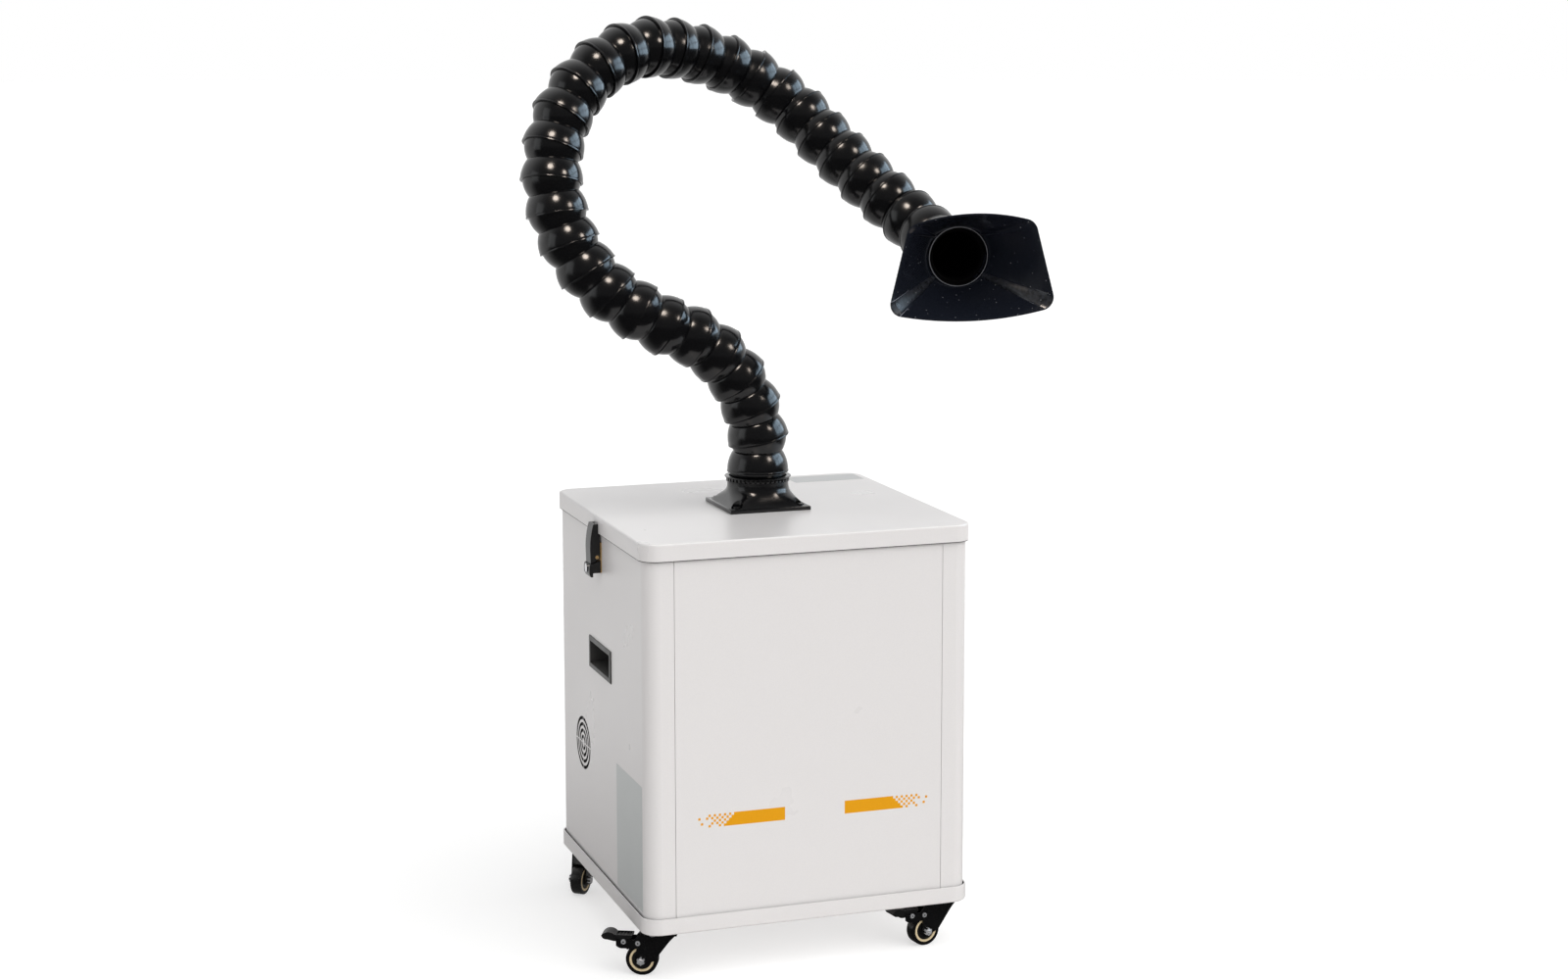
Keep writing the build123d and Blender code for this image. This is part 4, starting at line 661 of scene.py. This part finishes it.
def turned(name, profile, segments=64):
    """A ring shape turned about the vertical: a circle at the first point of the profile, in millimetres of
    radius and height, is extruded from point to point until the wall closes on itself."""
    bpy.ops.object.select_all(action="DESELECT")
    radius, height = profile[0]
    bpy.ops.mesh.primitive_circle_add(vertices=segments, radius=radius * MM, location=(0, 0, height * MM))
    piece = bpy.context.object
    piece.name = name
    bpy.ops.object.transform_apply()
    bpy.ops.object.mode_set(mode="EDIT")
    bpy.ops.mesh.select_all(action="SELECT")
    for next_radius, next_height in profile[1:] + profile[:1]:
        bpy.ops.mesh.extrude_region_move(
            TRANSFORM_OT_translate={"value": (0, 0, (next_height - height) * MM)}
        )
        grow = next_radius / radius
        bpy.ops.transform.resize(value=(grow, grow, 1.0), center_override=(0, 0, next_height * MM))
        radius, height = next_radius, next_height
    bpy.ops.mesh.select_all(action="SELECT")
    bpy.ops.mesh.remove_doubles(threshold=0.000002)
    bpy.ops.mesh.normals_make_consistent(inside=False)
    bpy.ops.object.mode_set(mode="OBJECT")
    return piece


def arc(centre, radius, start, end, steps):
    """Points of a profile along an arc, from one angle to another in degrees."""
    points = []
    for step in range(steps + 1):
        angle = math.radians(start + (end - start) * step / steps)
        points.append((centre[0] + radius * math.cos(angle), centre[1] + radius * math.sin(angle)))
    return points


def copy_of(piece, name, place):
    """A copy with its own mesh, with its place put into the mesh."""
    twin = piece.copy()
    twin.data = piece.data.copy()
    twin.name = name
    bpy.context.scene.collection.objects.link(twin)
    twin.data.transform(place)
    return twin


def joined(pieces, name):
    """Several shapes made one object."""
    bpy.ops.object.select_all(action="DESELECT")
    for piece in pieces:
        piece.select_set(True)
    bpy.context.view_layer.objects.active = pieces[0]
    if len(pieces) > 1:
        bpy.ops.object.join()
    whole = bpy.context.object
    whole.name = name
    return whole


def smooth(piece, angle=32.0):
    """Smooth shading that keeps edges sharper than the angle crisp."""
    lie_active(piece)
    bpy.ops.object.shade_smooth_by_angle(angle=math.radians(angle))


def dress(piece, body, finish, slot, *nodes):
    """Paints a piece, unless it has its finishes, lets it ride on its body and hides the solids that it
    replaces.
    """
    if finish:
        piece.data.materials.clear()
        piece.data.materials.append(finish)
    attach(piece, body)
    if nodes:
        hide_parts(*nodes)
    return piece


def matt_inside(piece, places, reach_mm, finish):
    """Gives the inside of a bore its own finish: faces within reach that look at the axis or along it."""
    piece.data.materials.append(finish)
    middles = [(place.translation, place.to_3x3() @ Vector((0, 0, 1))) for place in places]
    for face in piece.data.polygons:
        base, axis = min(middles, key=lambda pair: (face.center - pair[0]).length_squared)
        out = face.center - base
        out = out - axis * out.dot(axis)
        if out.length < reach_mm * MM and (face.normal.dot(out) < 0 or face.normal.dot(axis) > 0.9):
            face.material_index = len(piece.data.materials) - 1


# Arm


def knuckle_places():
    """Where each knuckle's socket centre stands and how it is turned, from the upright first one on."""
    place = Matrix.Translation(at(ARM_X, ARM_Y, BALL_Z))
    next_ball = Matrix.Translation((0, 0, KNUCKLE_PITCH * MM))
    places = [place.copy()]
    for count, left, forward in ARM_BENDS:
        bend = Matrix.Rotation(math.radians(-left), 4, "Y") @ Matrix.Rotation(math.radians(forward), 4, "X")
        for _ in range(count):
            place = place @ next_ball @ bend
            places.append(place.copy())
    return places


def bell_foot():
    """The lip round the mouth of a bell: a thin band that stands out, with a fine step above it."""
    return [
        (38.2, -5.0), (39.7, -5.0), (LIP_RADIUS, -4.85),
        (LIP_RADIUS, -3.2), (39.75, -2.95), (BELL_FOOT - 0.05, -2.8),
    ]


def socket_bore():
    """The inside of a bell, from its neck down to its rim."""
    return [
        (BORE, 27.0), (BORE, 22.5), (33.5, 16.4), (35.6, 11.2),
        (37.0, 4.6), (37.3, 0.0), (36.75, -4.8), (37.6, -5.0),
    ]


def knuckle_profile():
    """Bell with its lip, the V between bell and ball, and the next ball; then down through the bore."""
    # The bell's outside is an arc that stands upright at the lip, so the lip is its widest place
    centre = (BELL_FOOT - BELL_SWEEP, BELL_WIDEST)
    bell_valley = math.degrees(math.asin((VALLEY_HEIGHT - BELL_WIDEST) / BELL_SWEEP))
    ball_valley = -math.degrees(math.asin((KNUCKLE_PITCH - VALLEY_HEIGHT) / BALL_RADIUS))
    profile = bell_foot()
    profile += arc(centre, BELL_SWEEP, 0.6, bell_valley - 1.4, 12)
    profile += [(VALLEY_RADIUS - 0.15, VALLEY_HEIGHT + 0.05)]
    profile += arc((0, KNUCKLE_PITCH), BALL_RADIUS, ball_valley + 1.2, BALL_END, 12)
    profile += [(35.6, 50.1), (34.9, 50.25), (34.2, 50.1), (33.7, 49.4)]
    return profile + socket_bore()


def make_arm(finishes):
    """Thirty-two turned knuckles, joined in the sections that the solids have."""
    places = knuckle_places()
    pattern = turned("knuckle", knuckle_profile(), KNUCKLE_SIDES)
    start, number = 0, 1
    while start < len(places):
        end = min(start + (FIRST_SECTION_COUNT if start == 0 else SECTION_COUNT), len(places))
        links = [copy_of(pattern, f"knuckle_{index + 1:02d}", places[index]) for index in range(start, end)]
        section = joined(links, f"turned_knuckles_{number:02d}")
        smooth(section, 35)
        solid = f"arm_section_{number:02d}"
        dress(section, f"arm_{number:02d}", finishes["gloss_abs"], "arm_plastic", solid)
        half_way = Matrix.Translation((0, 0, KNUCKLE_PITCH * MM / 2))
        middles = places[start:end] + [place @ half_way for place in places[start:end]]
        matt_inside(section, middles, 35.7, finishes["bore_abs"])
        start, number = end, number + 1
    bpy.data.objects.remove(pattern)
    return places


# Flange


def flare_ring(share, count):
    """One level of the flare: a rounded square at the foot that becomes a circle at the neck."""
    half = FLARE_NECK + (FLARE_HALF - FLARE_NECK) * (1 - share) ** 2.6
    power = 2 + 14 * (1 - share) ** 4.2
    ring = []
    for step in range(count):
        angle = 2 * math.pi * step / count
        x, y = math.cos(angle), math.sin(angle)
        reach = half / (abs(x) ** power + abs(y) ** power) ** (1 / power)
        ring.append(Vector((x * reach, y * reach)))
    return ring


def make_flange(finishes):
    """The foot of the arm: plate, flare with its four screw pockets, and the first ball."""
    count, levels = FLANGE_POINTS, FLANGE_LEVELS
    flare = ring_of(count, FLARE_HALF, "NGON")
    draw_up(levels, MM)
    for index, vertex in enumerate(flare.data.vertices):
        level, around = divmod(index, count)
        share = (level / levels) ** 1.25
        flat = flare_ring(share, count)[around]
        vertex.co = Vector((flat.x, flat.y, PLATE_HEIGHT + (FLARE_TOP - PLATE_HEIGHT) * share)) * MM
    face_outward(flare)
    for x in (-1, 1):
        for y in (-1, 1):
            place = Vector((x * POCKET_PLACE, y * POCKET_PLACE, POCKET_FLOOR + 15.0)) * MM
            drill = cylinder(40, POCKET_RADIUS, 30.0, place)
            cut = flare.modifiers.new("pocket", "BOOLEAN")
            cut.object = drill
            cut.operation = "DIFFERENCE"
            lie_active(flare)
            bpy.ops.object.modifier_apply(modifier=cut.name)
            bpy.data.objects.remove(drill)
    plate_sizes = (2 * FLANGE_HALF, 2 * FLANGE_HALF, PLATE_HEIGHT)
    plate = block("plate", (0, 0, PLATE_HEIGHT * MM / 2), plate_sizes, 0.7, 3)
    ball_z = BALL_Z - LID_TOP
    foot_angle = -math.degrees(math.asin((ball_z - FLARE_TOP + 1) / BALL_RADIUS))
    ball = arc((0, ball_z), BALL_RADIUS, foot_angle, BALL_END, 16)
    ball += [(35.6, ball_z + 8.85), (34.2, ball_z + 8.85), (33.7, ball_z + 8.2), (BORE, FLARE_TOP)]
    first_ball = turned("first_ball", ball, KNUCKLE_SIDES)
    flange = joined([flare, plate, first_ball], "arm_foot")
    flange.data.transform(Matrix.Translation(at(ARM_X, ARM_Y, LID_TOP)))
    smooth(flange, 30)
    return dress(flange, "lid_assembly", finishes["gloss_abs"], "arm_plastic", "arm_flange")


def make_clamp_ring(finishes):
    """The ring that holds the first ball: a band of small lugs over a dark gap, under a thin lip."""
    ring = turned("ring_band", [(radius, FLARE_TOP + rise) for radius, rise in RING_BAND], 96)
    lug = block("lug", Vector((LUG_OUT, 0, FLARE_TOP + LUG_RISE)) * MM, LUG_SIZES, 0.35)
    turns = [Matrix.Rotation(2 * math.pi * step / LUG_COUNT, 4, "Z") for step in range(LUG_COUNT)]
    lugs = [copy_of(lug, "lug", turn) for turn in turns]
    bpy.data.objects.remove(lug)
    whole = joined([ring] + lugs, "notched_clamp_ring")
    whole.data.transform(Matrix.Translation(at(ARM_X, ARM_Y, LID_TOP)))
    smooth(whole, 35)
    return dress(whole, "lid_assembly", finishes["gloss_abs"], "arm_plastic", "flange_clamp_ring")


# Hood


def hood_place(places):
    """The hood's own axes: z out of the mouth, y up, and turned a little on its collar."""
    ball = places[-1] @ Matrix.Translation((0, 0, KNUCKLE_PITCH * MM))
    axis = (ball.to_3x3() @ Vector((0, 0, 1))).normalized()
    across = Vector((0, 0, 1)).cross(axis).normalized()
    upward = axis.cross(across)
    turn = Matrix((across, upward, axis)).transposed().to_4x4()
    return Matrix.Translation(ball.translation) @ turn @ Matrix.Rotation(math.radians(HOOD_ROLL), 4, "Z")


def mouth_corner(half, crown, slope, rounding, up):
    """A corner of the mouth: the end of its crowned edge, and the point where both edges would meet."""
    end_x = half - rounding * math.cos(math.radians(slope))
    end_y = crown - end_x * math.tan(math.radians(slope / 2))
    corner = Vector((half, up * (end_y - rounding * math.sin(math.radians(slope)))))
    return Vector((end_x, up * end_y)), corner


def points_on_arc(start, middle, end, count):
    """Points on the circle through three points, from the first to just before the last."""
    a, b, c = start, middle, end
    d = 2 * (a.x * (b.y - c.y) + b.x * (c.y - a.y) + c.x * (a.y - b.y))
    aa, bb, cc = a.length_squared, b.length_squared, c.length_squared
    ux = (aa * (b.y - c.y) + bb * (c.y - a.y) + cc * (a.y - b.y)) / d
    uy = (aa * (c.x - b.x) + bb * (a.x - c.x) + cc * (b.x - a.x)) / d
    centre = Vector((ux, uy))
    first = math.atan2(a.y - uy, a.x - ux)
    half = math.atan2(b.y - uy, b.x - ux)
    last = math.atan2(c.y - uy, c.x - ux)
    turn = (last - first) % (2 * math.pi)
    if (half - first) % (2 * math.pi) > turn:
        turn -= 2 * math.pi
    radius = (a - centre).length
    angles = [first + turn * step / count for step in range(count)]
    return [centre + radius * Vector((math.cos(angle), math.sin(angle))) for angle in angles]


def flipped(point):
    """The point on the other side of the hood's middle."""
    return Vector((-point.x, point.y))


def mouth_points(counts):
    """The outline of the mouth: crowned top, rounded corner, slanted side, and so on, clockwise."""
    top_end, top_corner = mouth_corner(*MOUTH_TOP, 1)
    low_end, low_corner = mouth_corner(*MOUTH_BOTTOM, -1)
    side = (low_corner - top_corner).normalized()
    side_top = top_corner + side * MOUTH_TOP[3]
    side_low = low_corner - side * MOUTH_BOTTOM[3]
    share = math.sqrt(2) - 1
    top_round = (top_end + side_top) / 2 * (1 - share) + top_corner * share
    low_round = (low_end + side_low) / 2 * (1 - share) + low_corner * share
    points = points_on_arc(flipped(top_end), Vector((0, MOUTH_TOP[1])), top_end, counts[0])
    points += points_on_arc(top_end, top_round, side_top, counts[1])
    points += [side_top.lerp(side_low, step / counts[2]) for step in range(counts[2])]
    points += points_on_arc(side_low, low_round, low_end, counts[3])
    points += points_on_arc(low_end, Vector((0, -MOUTH_BOTTOM[1])), flipped(low_end), counts[4])
    points += points_on_arc(flipped(low_end), flipped(low_round), flipped(side_low), counts[5])
    points += [flipped(side_low).lerp(flipped(side_top), step / counts[6]) for step in range(counts[6])]
    points += points_on_arc(flipped(side_top), flipped(top_round), flipped(top_end), counts[7])
    return points


def throat_points(counts):
    """The throat circle, split at the angles where the creases of the hood start."""
    points = []
    ends = THROAT_ANGLES[1:] + THROAT_ANGLES[:1]
    for start, end, count in zip(THROAT_ANGLES, ends, counts):
        span = (start - end) % 360
        for step in range(count):
            angle = math.radians(start - span * step / count)
            points.append(Vector((SLEEVE_RADIUS * math.cos(angle), SLEEVE_RADIUS * math.sin(angle))))
    return points


def make_hood(place, finishes):
    """The flared hood: a ring at the throat drawn out to the mouth, thickened inward, with its sleeve."""
    throat = throat_points(HOOD_COUNTS)
    mouth = mouth_points(HOOD_COUNTS)
    # Odd stretches of the outline are the strips at the corners: how far across its strip each point lies
    strip_places = []
    for stretch, count in enumerate(HOOD_COUNTS):
        strip_places += [step / count if stretch % 2 else 0.0 for step in range(count)]
    shell = ring_of(len(throat), SLEEVE_RADIUS)
    draw_up(HOOD_RINGS, MM)
    for index, vertex in enumerate(shell.data.vertices):
        ring, around = divmod(index, len(throat))
        share = ring / HOOD_RINGS
        across = strip_places[around]
        held_back = STRIP_BULGE * math.sin(math.pi * across) * (share - share * share)
        flat = throat[around].lerp(mouth[around], share - held_back)
        vertex.co = Vector((flat.x, flat.y, HOOD_START + (HOOD_END - HOOD_START) * share)) * MM
    face_outward(shell)
    sample = shell.data.polygons[0]
    if sample.normal.dot(Vector((sample.center.x, sample.center.y, 0))) < 0:
        bpy.ops.object.mode_set(mode="EDIT")
        bpy.ops.mesh.select_all(action="SELECT")
        bpy.ops.mesh.flip_normals()
        bpy.ops.object.mode_set(mode="OBJECT")
    for finish in ("hood_abs", "dust_and_reflection_abs", "crease_painted_highlight"):
        shell.data.materials.append(finishes[finish])
    for face in shell.data.polygons:
        columns = {vertex % len(throat) for vertex in face.vertices}
        column = max(columns) if {0, len(throat) - 1} <= columns else min(columns)
        ring = min(vertex // len(throat) for vertex in face.vertices)
        # Faces of the listed creases take the pale painted highlight; faces of the corner strips take dust
        # with a painted reflection
        if column in PAINTED_HIGHLIGHT_CREASES and PAINTED_HIGHLIGHT_CREASES[column][0] <= ring < PAINTED_HIGHLIGHT_CREASES[column][1]:
            face.material_index = 2
        elif any(low <= column < high for low, high in DUST_AND_REFLECTION_COLUMNS):
            face.material_index = 1
    thicken(shell, HOOD_WALL, even=True)
    break_edges(shell, 0.45, angle=50.0)
    for vertex in shell.data.vertices:
        vertex.co.z = min(vertex.co.z, HOOD_END * MM)
    sleeve = turned("sleeve", [
        (SLEEVE_BORE, SLEEVE_START), (SLEEVE_RADIUS - 0.4, SLEEVE_START),
        (SLEEVE_RADIUS, SLEEVE_START + 0.4), (SLEEVE_RADIUS, HOOD_START),
        (SLEEVE_RADIUS - 1.0, HOOD_START + 0.8), (SLEEVE_BORE + 0.4, HOOD_START + 0.8),
        (SLEEVE_BORE, HOOD_START + 0.4),
    ], 120)
    inner, outer, low, high = THROAT_RIM
    rim = turned("throat_rim", [
        (inner, low), (outer, low), (outer, high - 0.9), (outer - 0.25, high - 0.2),
        (outer - 0.6, high), (outer - 1.0, high), (inner, high - 1.2),
    ], 120)
    for tube in (sleeve, rim):
        tube.data.materials.append(finishes["hood_abs"])
    hood = joined([shell, sleeve, rim], "flared_hood")
    smooth(hood, 9)
    dress(hood, "hood", None, "arm_plastic", "hood")
    matt_inside(hood, [Matrix.Identity(4)], 36.9, finishes["bore_abs"])
    # The flat top of the rim takes the pale grey finish
    hood.data.materials.append(finishes["pale_rim"])
    for face in hood.data.polygons:
        middle = face.center / MM
        radius = math.hypot(middle.x, middle.y)
        across_rim = outer - 1.02 < radius < outer + 0.05
        near_top = high - 0.9 < middle.z < high + 0.05
        if across_rim and near_top and face.normal.z > 0.2:
            face.material_index = len(hood.data.materials) - 1
    hood.data.transform(place)
    return hood


def make_collar(place, finishes):
    """The last socket, with the short spigot on which the hood turns."""
    shoulder = 29.0
    profile = bell_foot()
    profile += arc((BELL_FOOT - BELL_SWEEP, BELL_WIDEST), BELL_SWEEP, 0.6, shoulder - 1.0, 10)
    step_z = BELL_SWEEP * math.sin(math.radians(shoulder)) + BELL_WIDEST
    profile += [
        (SPIGOT_RADIUS + 0.6, step_z), (SPIGOT_RADIUS, step_z + 0.2),
        (SPIGOT_RADIUS, SPIGOT_END - 0.4), (SPIGOT_RADIUS - 0.4, SPIGOT_END),
        (SPIGOT_RADIUS - 1.6, SPIGOT_END), (SPIGOT_RADIUS - 2.0, SPIGOT_END - 0.4),
    ]
    collar = turned("hood_socket", profile + socket_bore(), 96)
    collar.data.transform(place)
    smooth(collar, 35)
    dress(collar, "collar", finishes["gloss_abs"], "arm_plastic", "hood_collar")
    matt_inside(collar, [place], 37.7, finishes["bore_abs"])


# Casters


def caster_place(name):
    """A caster's own axes: the swivel axis on the floor, x the trailing direction."""
    x, y, angle = CASTERS[name]
    return Matrix.Translation(at(x, y, 0)) @ Matrix.Rotation(math.radians(angle), 4, "Z")


def on_cheek(place, x, z, side):
    """A place on the outside of a fork cheek, with z pointing away from it."""
    turn = Matrix.Rotation(math.radians(-90 * side), 4, "X")
    return place @ Matrix.Translation(Vector((x, side * CHEEK_OUTSIDE, z)) * MM) @ turn


def make_casters(finishes):
    """Tyre, cream hub with a dark cover, axle nuts and rivets for each caster."""
    tread = [(HUB_RADIUS, -7.0), (HUB_RADIUS + 0.3, -WHEEL_HALF)]
    tread += arc((WHEEL_RADIUS - 1.6, -WHEEL_HALF + 1.6), 1.6, -90, 0, 5)
    tread += arc((WHEEL_RADIUS - 1.6, WHEEL_HALF - 1.6), 1.6, 0, 90, 5)
    tread += [(HUB_RADIUS + 0.3, WHEEL_HALF), (HUB_RADIUS, 7.0)]
    tyre = turned("tyre", tread, 72)
    inner = HUB_RADIUS - HUB_RIM
    rim = [
        (inner, -WHEEL_HALF + 0.3), (inner + 0.3, -WHEEL_HALF), (HUB_RADIUS - 0.4, -WHEEL_HALF),
        (HUB_RADIUS - 0.1, -WHEEL_HALF + 0.3), (HUB_RADIUS - 0.1, WHEEL_HALF - 0.3),
        (HUB_RADIUS - 0.4, WHEEL_HALF), (inner + 0.3, WHEEL_HALF), (inner, WHEEL_HALF - 0.3),
        (inner, 3.0), (3.1, 3.0), (3.1, -3.0), (inner, -3.0),
    ]
    hub = turned("hub", rim, 64)
    cover = [
        (3.1, 3.1), (inner - 0.1, 3.1), (inner - 0.1, 6.3), (inner - 0.6, 6.6), (9.2, 6.6), (8.6, 6.0),
        (7.6, 6.0), (7.0, 6.6), (7.0, 8.4), (6.7, 8.65), (3.4, 8.65), (3.1, 8.4),
    ]
    cap = turned("hub_cover", cover, 56)
    nut = make_nut()
    rivet = turned("rivet", RIVET, 32)
    for name in CASTERS:
        place = caster_place(name)
        axle = place @ Matrix.Translation(Vector((TRAIL, 0, WHEEL_RADIUS)) * MM)
        wheel = axle @ Matrix.Rotation(math.radians(90), 4, "X")
        body = f"{name}_wheel"
        rolling = copy_of(tyre, f"{name}_tread", wheel)
        smooth(rolling, 40)
        dress(rolling, body, finishes["tread"], "tyre_rubber", f"{name}_caster_tyre")
        centre = copy_of(hub, f"{name}_hub_ring", wheel)
        smooth(centre, 35)
        dress(centre, body, finishes["nylon"], "hub_nylon", f"{name}_caster_hub")
        turned_back = wheel @ Matrix.Rotation(math.pi, 4, "X")
        both = [copy_of(cap, "cover", wheel), copy_of(cap, "cover", turned_back)]
        covers = joined(both, f"{name}_hub_covers")
        smooth(covers, 35)
        dress(covers, body, finishes["textured_nylon"], "black_plastic")
        metal = [copy_of(nut, "axle_nut", on_cheek(place, TRAIL, WHEEL_RADIUS, side)) for side in (-1, 1)]
        if name.startswith("front"):
            for x, z in BRAKE_RIVETS:
                metal += [copy_of(rivet, "rivet", on_cheek(place, x, z, side)) for side in (-1, 1)]
        metalwork = joined(metal, f"{name}_axle_and_rivets")
        smooth(metalwork, 30)
        dress(metalwork, f"{name}_fork", finishes["zinc"], "zinc_steel")
    for pattern in (tyre, hub, cap, nut, rivet):
        bpy.data.objects.remove(pattern)


def make_nut():
    """A hexagon head with a chamfered crown and a recessed, slightly domed middle."""
    nut = cylinder(6, NUT_RADIUS, AXLE_HEAD, (0, 0, 0.5 * AXLE_HEAD * MM + 0.05 * MM))
    break_edges(nut, 0.45, angle=40.0)
    boss = turned("boss", [
        (0.6, AXLE_HEAD), (3.1, AXLE_HEAD), (3.1, AXLE_HEAD + 0.5),
        (2.7, AXLE_HEAD + 0.9), (0.9, AXLE_HEAD + 1.05), (0.6, AXLE_HEAD + 0.7),
    ], 28)
    return joined([nut, boss], "axle_nut")


# The front's printed stripe and the blank plates


def flat_plate(name, corner_a, corner_b, axis, thickness, edge_mm):
    """A thin plate between two corners in millimetres off the centre line, standing out along an axis."""
    middle = [(a + b) / 2 for a, b in zip(corner_a, corner_b)]
    sizes = [abs(b - a) for a, b in zip(corner_a, corner_b)]
    sizes[axis] = thickness
    return block(name, at(*middle), sizes, edge_mm)


def print_stripe(finishes):
    """A yellow bar each side, whose outer end steps off row by row into loose cells."""
    prints = []
    for side, outer, inner in STRIPE_BARS:
        for row, loose in enumerate(LOOSE_CELLS):
            low = STRIPE_LOW + row * STRIPE_CELL
            start = outer - side * row * STRIPE_CELL
            spans = [(start, inner)]
            for cell in loose:
                middle = start + side * (cell - 0.5) * STRIPE_CELL
                spans.append((middle - STRIPE_CELL * 0.46, middle + STRIPE_CELL * 0.46))
            for left, right in spans:
                height = STRIPE_CELL * (1.0 if left == start else 0.92)
                bar = (left, -FRONT_FACE, low), (right, -FRONT_FACE, low + height)
                prints.append(flat_plate("print", *bar, 1, 0.06, 0))
    return dress(joined(prints, "printed_stripe"), "cabinet", finishes["yellow_ink"], "cabinet_paint")


def fix_plates(finishes):
    """The blank plates on the left side and on the lid."""
    corners = [(-SIDE_FACE, *corner) for corner in SIDE_PLATE]
    side = flat_plate("blank_side_plate", *corners, 0, 0.5, 0.12)
    dress(side, "cabinet", finishes["plate_film"], "zinc_steel")
    corners = [(*corner, LID_TOP) for corner in LID_PLATE]
    top = flat_plate("blank_lid_plate", *corners, 2, 0.6, 0.15)
    dress(top, "lid_assembly", finishes["lid_film"], "zinc_steel")


def rounded_band(name, half_x, half_y, radius, low, high, wall):
    """A thin upright band along a rounded rectangle, drawn as an outline, extruded and thickened."""
    steps = 12
    outline = []
    for corner, (sign_x, sign_y) in enumerate(((1, 1), (-1, 1), (-1, -1), (1, -1))):
        centre = (sign_x * (half_x - radius), sign_y * (half_y - radius))
        outline += arc(centre, radius, corner * 90, corner * 90 + 90, steps)
    band = ring_of(len(outline), half_x)
    band.name = name
    for vertex, (x, y) in zip(band.data.vertices, outline):
        vertex.co = at(x, y, low)
    draw_up(1, (high - low) * MM)
    face_outward(band)
    thicken(band, wall)
    return band


def seal_edges_with_gap_shadow(finishes):
    """A black rubber seal under the lid's skirt and one on the tray's edge, whose dark strips paint the
    shadow lines of these gaps.
    """
    under_lid = rounded_band("lid_edge_seal_gap_shadow", *LID_SHADOW_SEAL)
    dress(under_lid, "lid_assembly", finishes["foam"], "gasket_foam")
    on_tray = rounded_band("tray_edge_seal_gap_shadow", *TRAY_SHADOW_SEAL)
    dress(on_tray, "cabinet", finishes["foam"], "gasket_foam")


def darken_behind_vents(finishes):
    """A round of black foam behind the ring vent of each side, a painted shade for the dark inside of the
    cabinet.
    """
    pad = cylinder(64, PAD_RADIUS, PAD_THICKNESS)
    break_edges(pad, 0.4)
    turn = Matrix.Rotation(math.radians(90), 4, "Y")
    pads = []
    for side in (-1, 1):
        place = Matrix.Translation(at(side * (SIDE_FACE - SHEET - PAD_GAP), VENT_Y, VENT_HEIGHT)) @ turn
        pads.append(copy_of(pad, "pad", place))
    bpy.data.objects.remove(pad)
    dress(joined(pads, "vent_shade_foam_pads"), "cabinet", finishes["foam"], "gasket_foam")


# The whole purifier

stand_camera()
light_studio()
lay_floor()
finishes = mix_finishes()
# The side panels' paint, with painted shade in the vent slots
finishes["vented_powder_coat"] = paint_slot_shade(finishes["powder_coat"])
paint_solids(finishes)
places = make_arm(finishes)
mouth_place = hood_place(places)
make_flange(finishes)
make_clamp_ring(finishes)
make_hood(mouth_place, finishes)
make_collar(mouth_place, finishes)
make_casters(finishes)
print_stripe(finishes)
fix_plates(finishes)
seal_edges_with_gap_shadow(finishes)
darken_behind_vents(finishes)
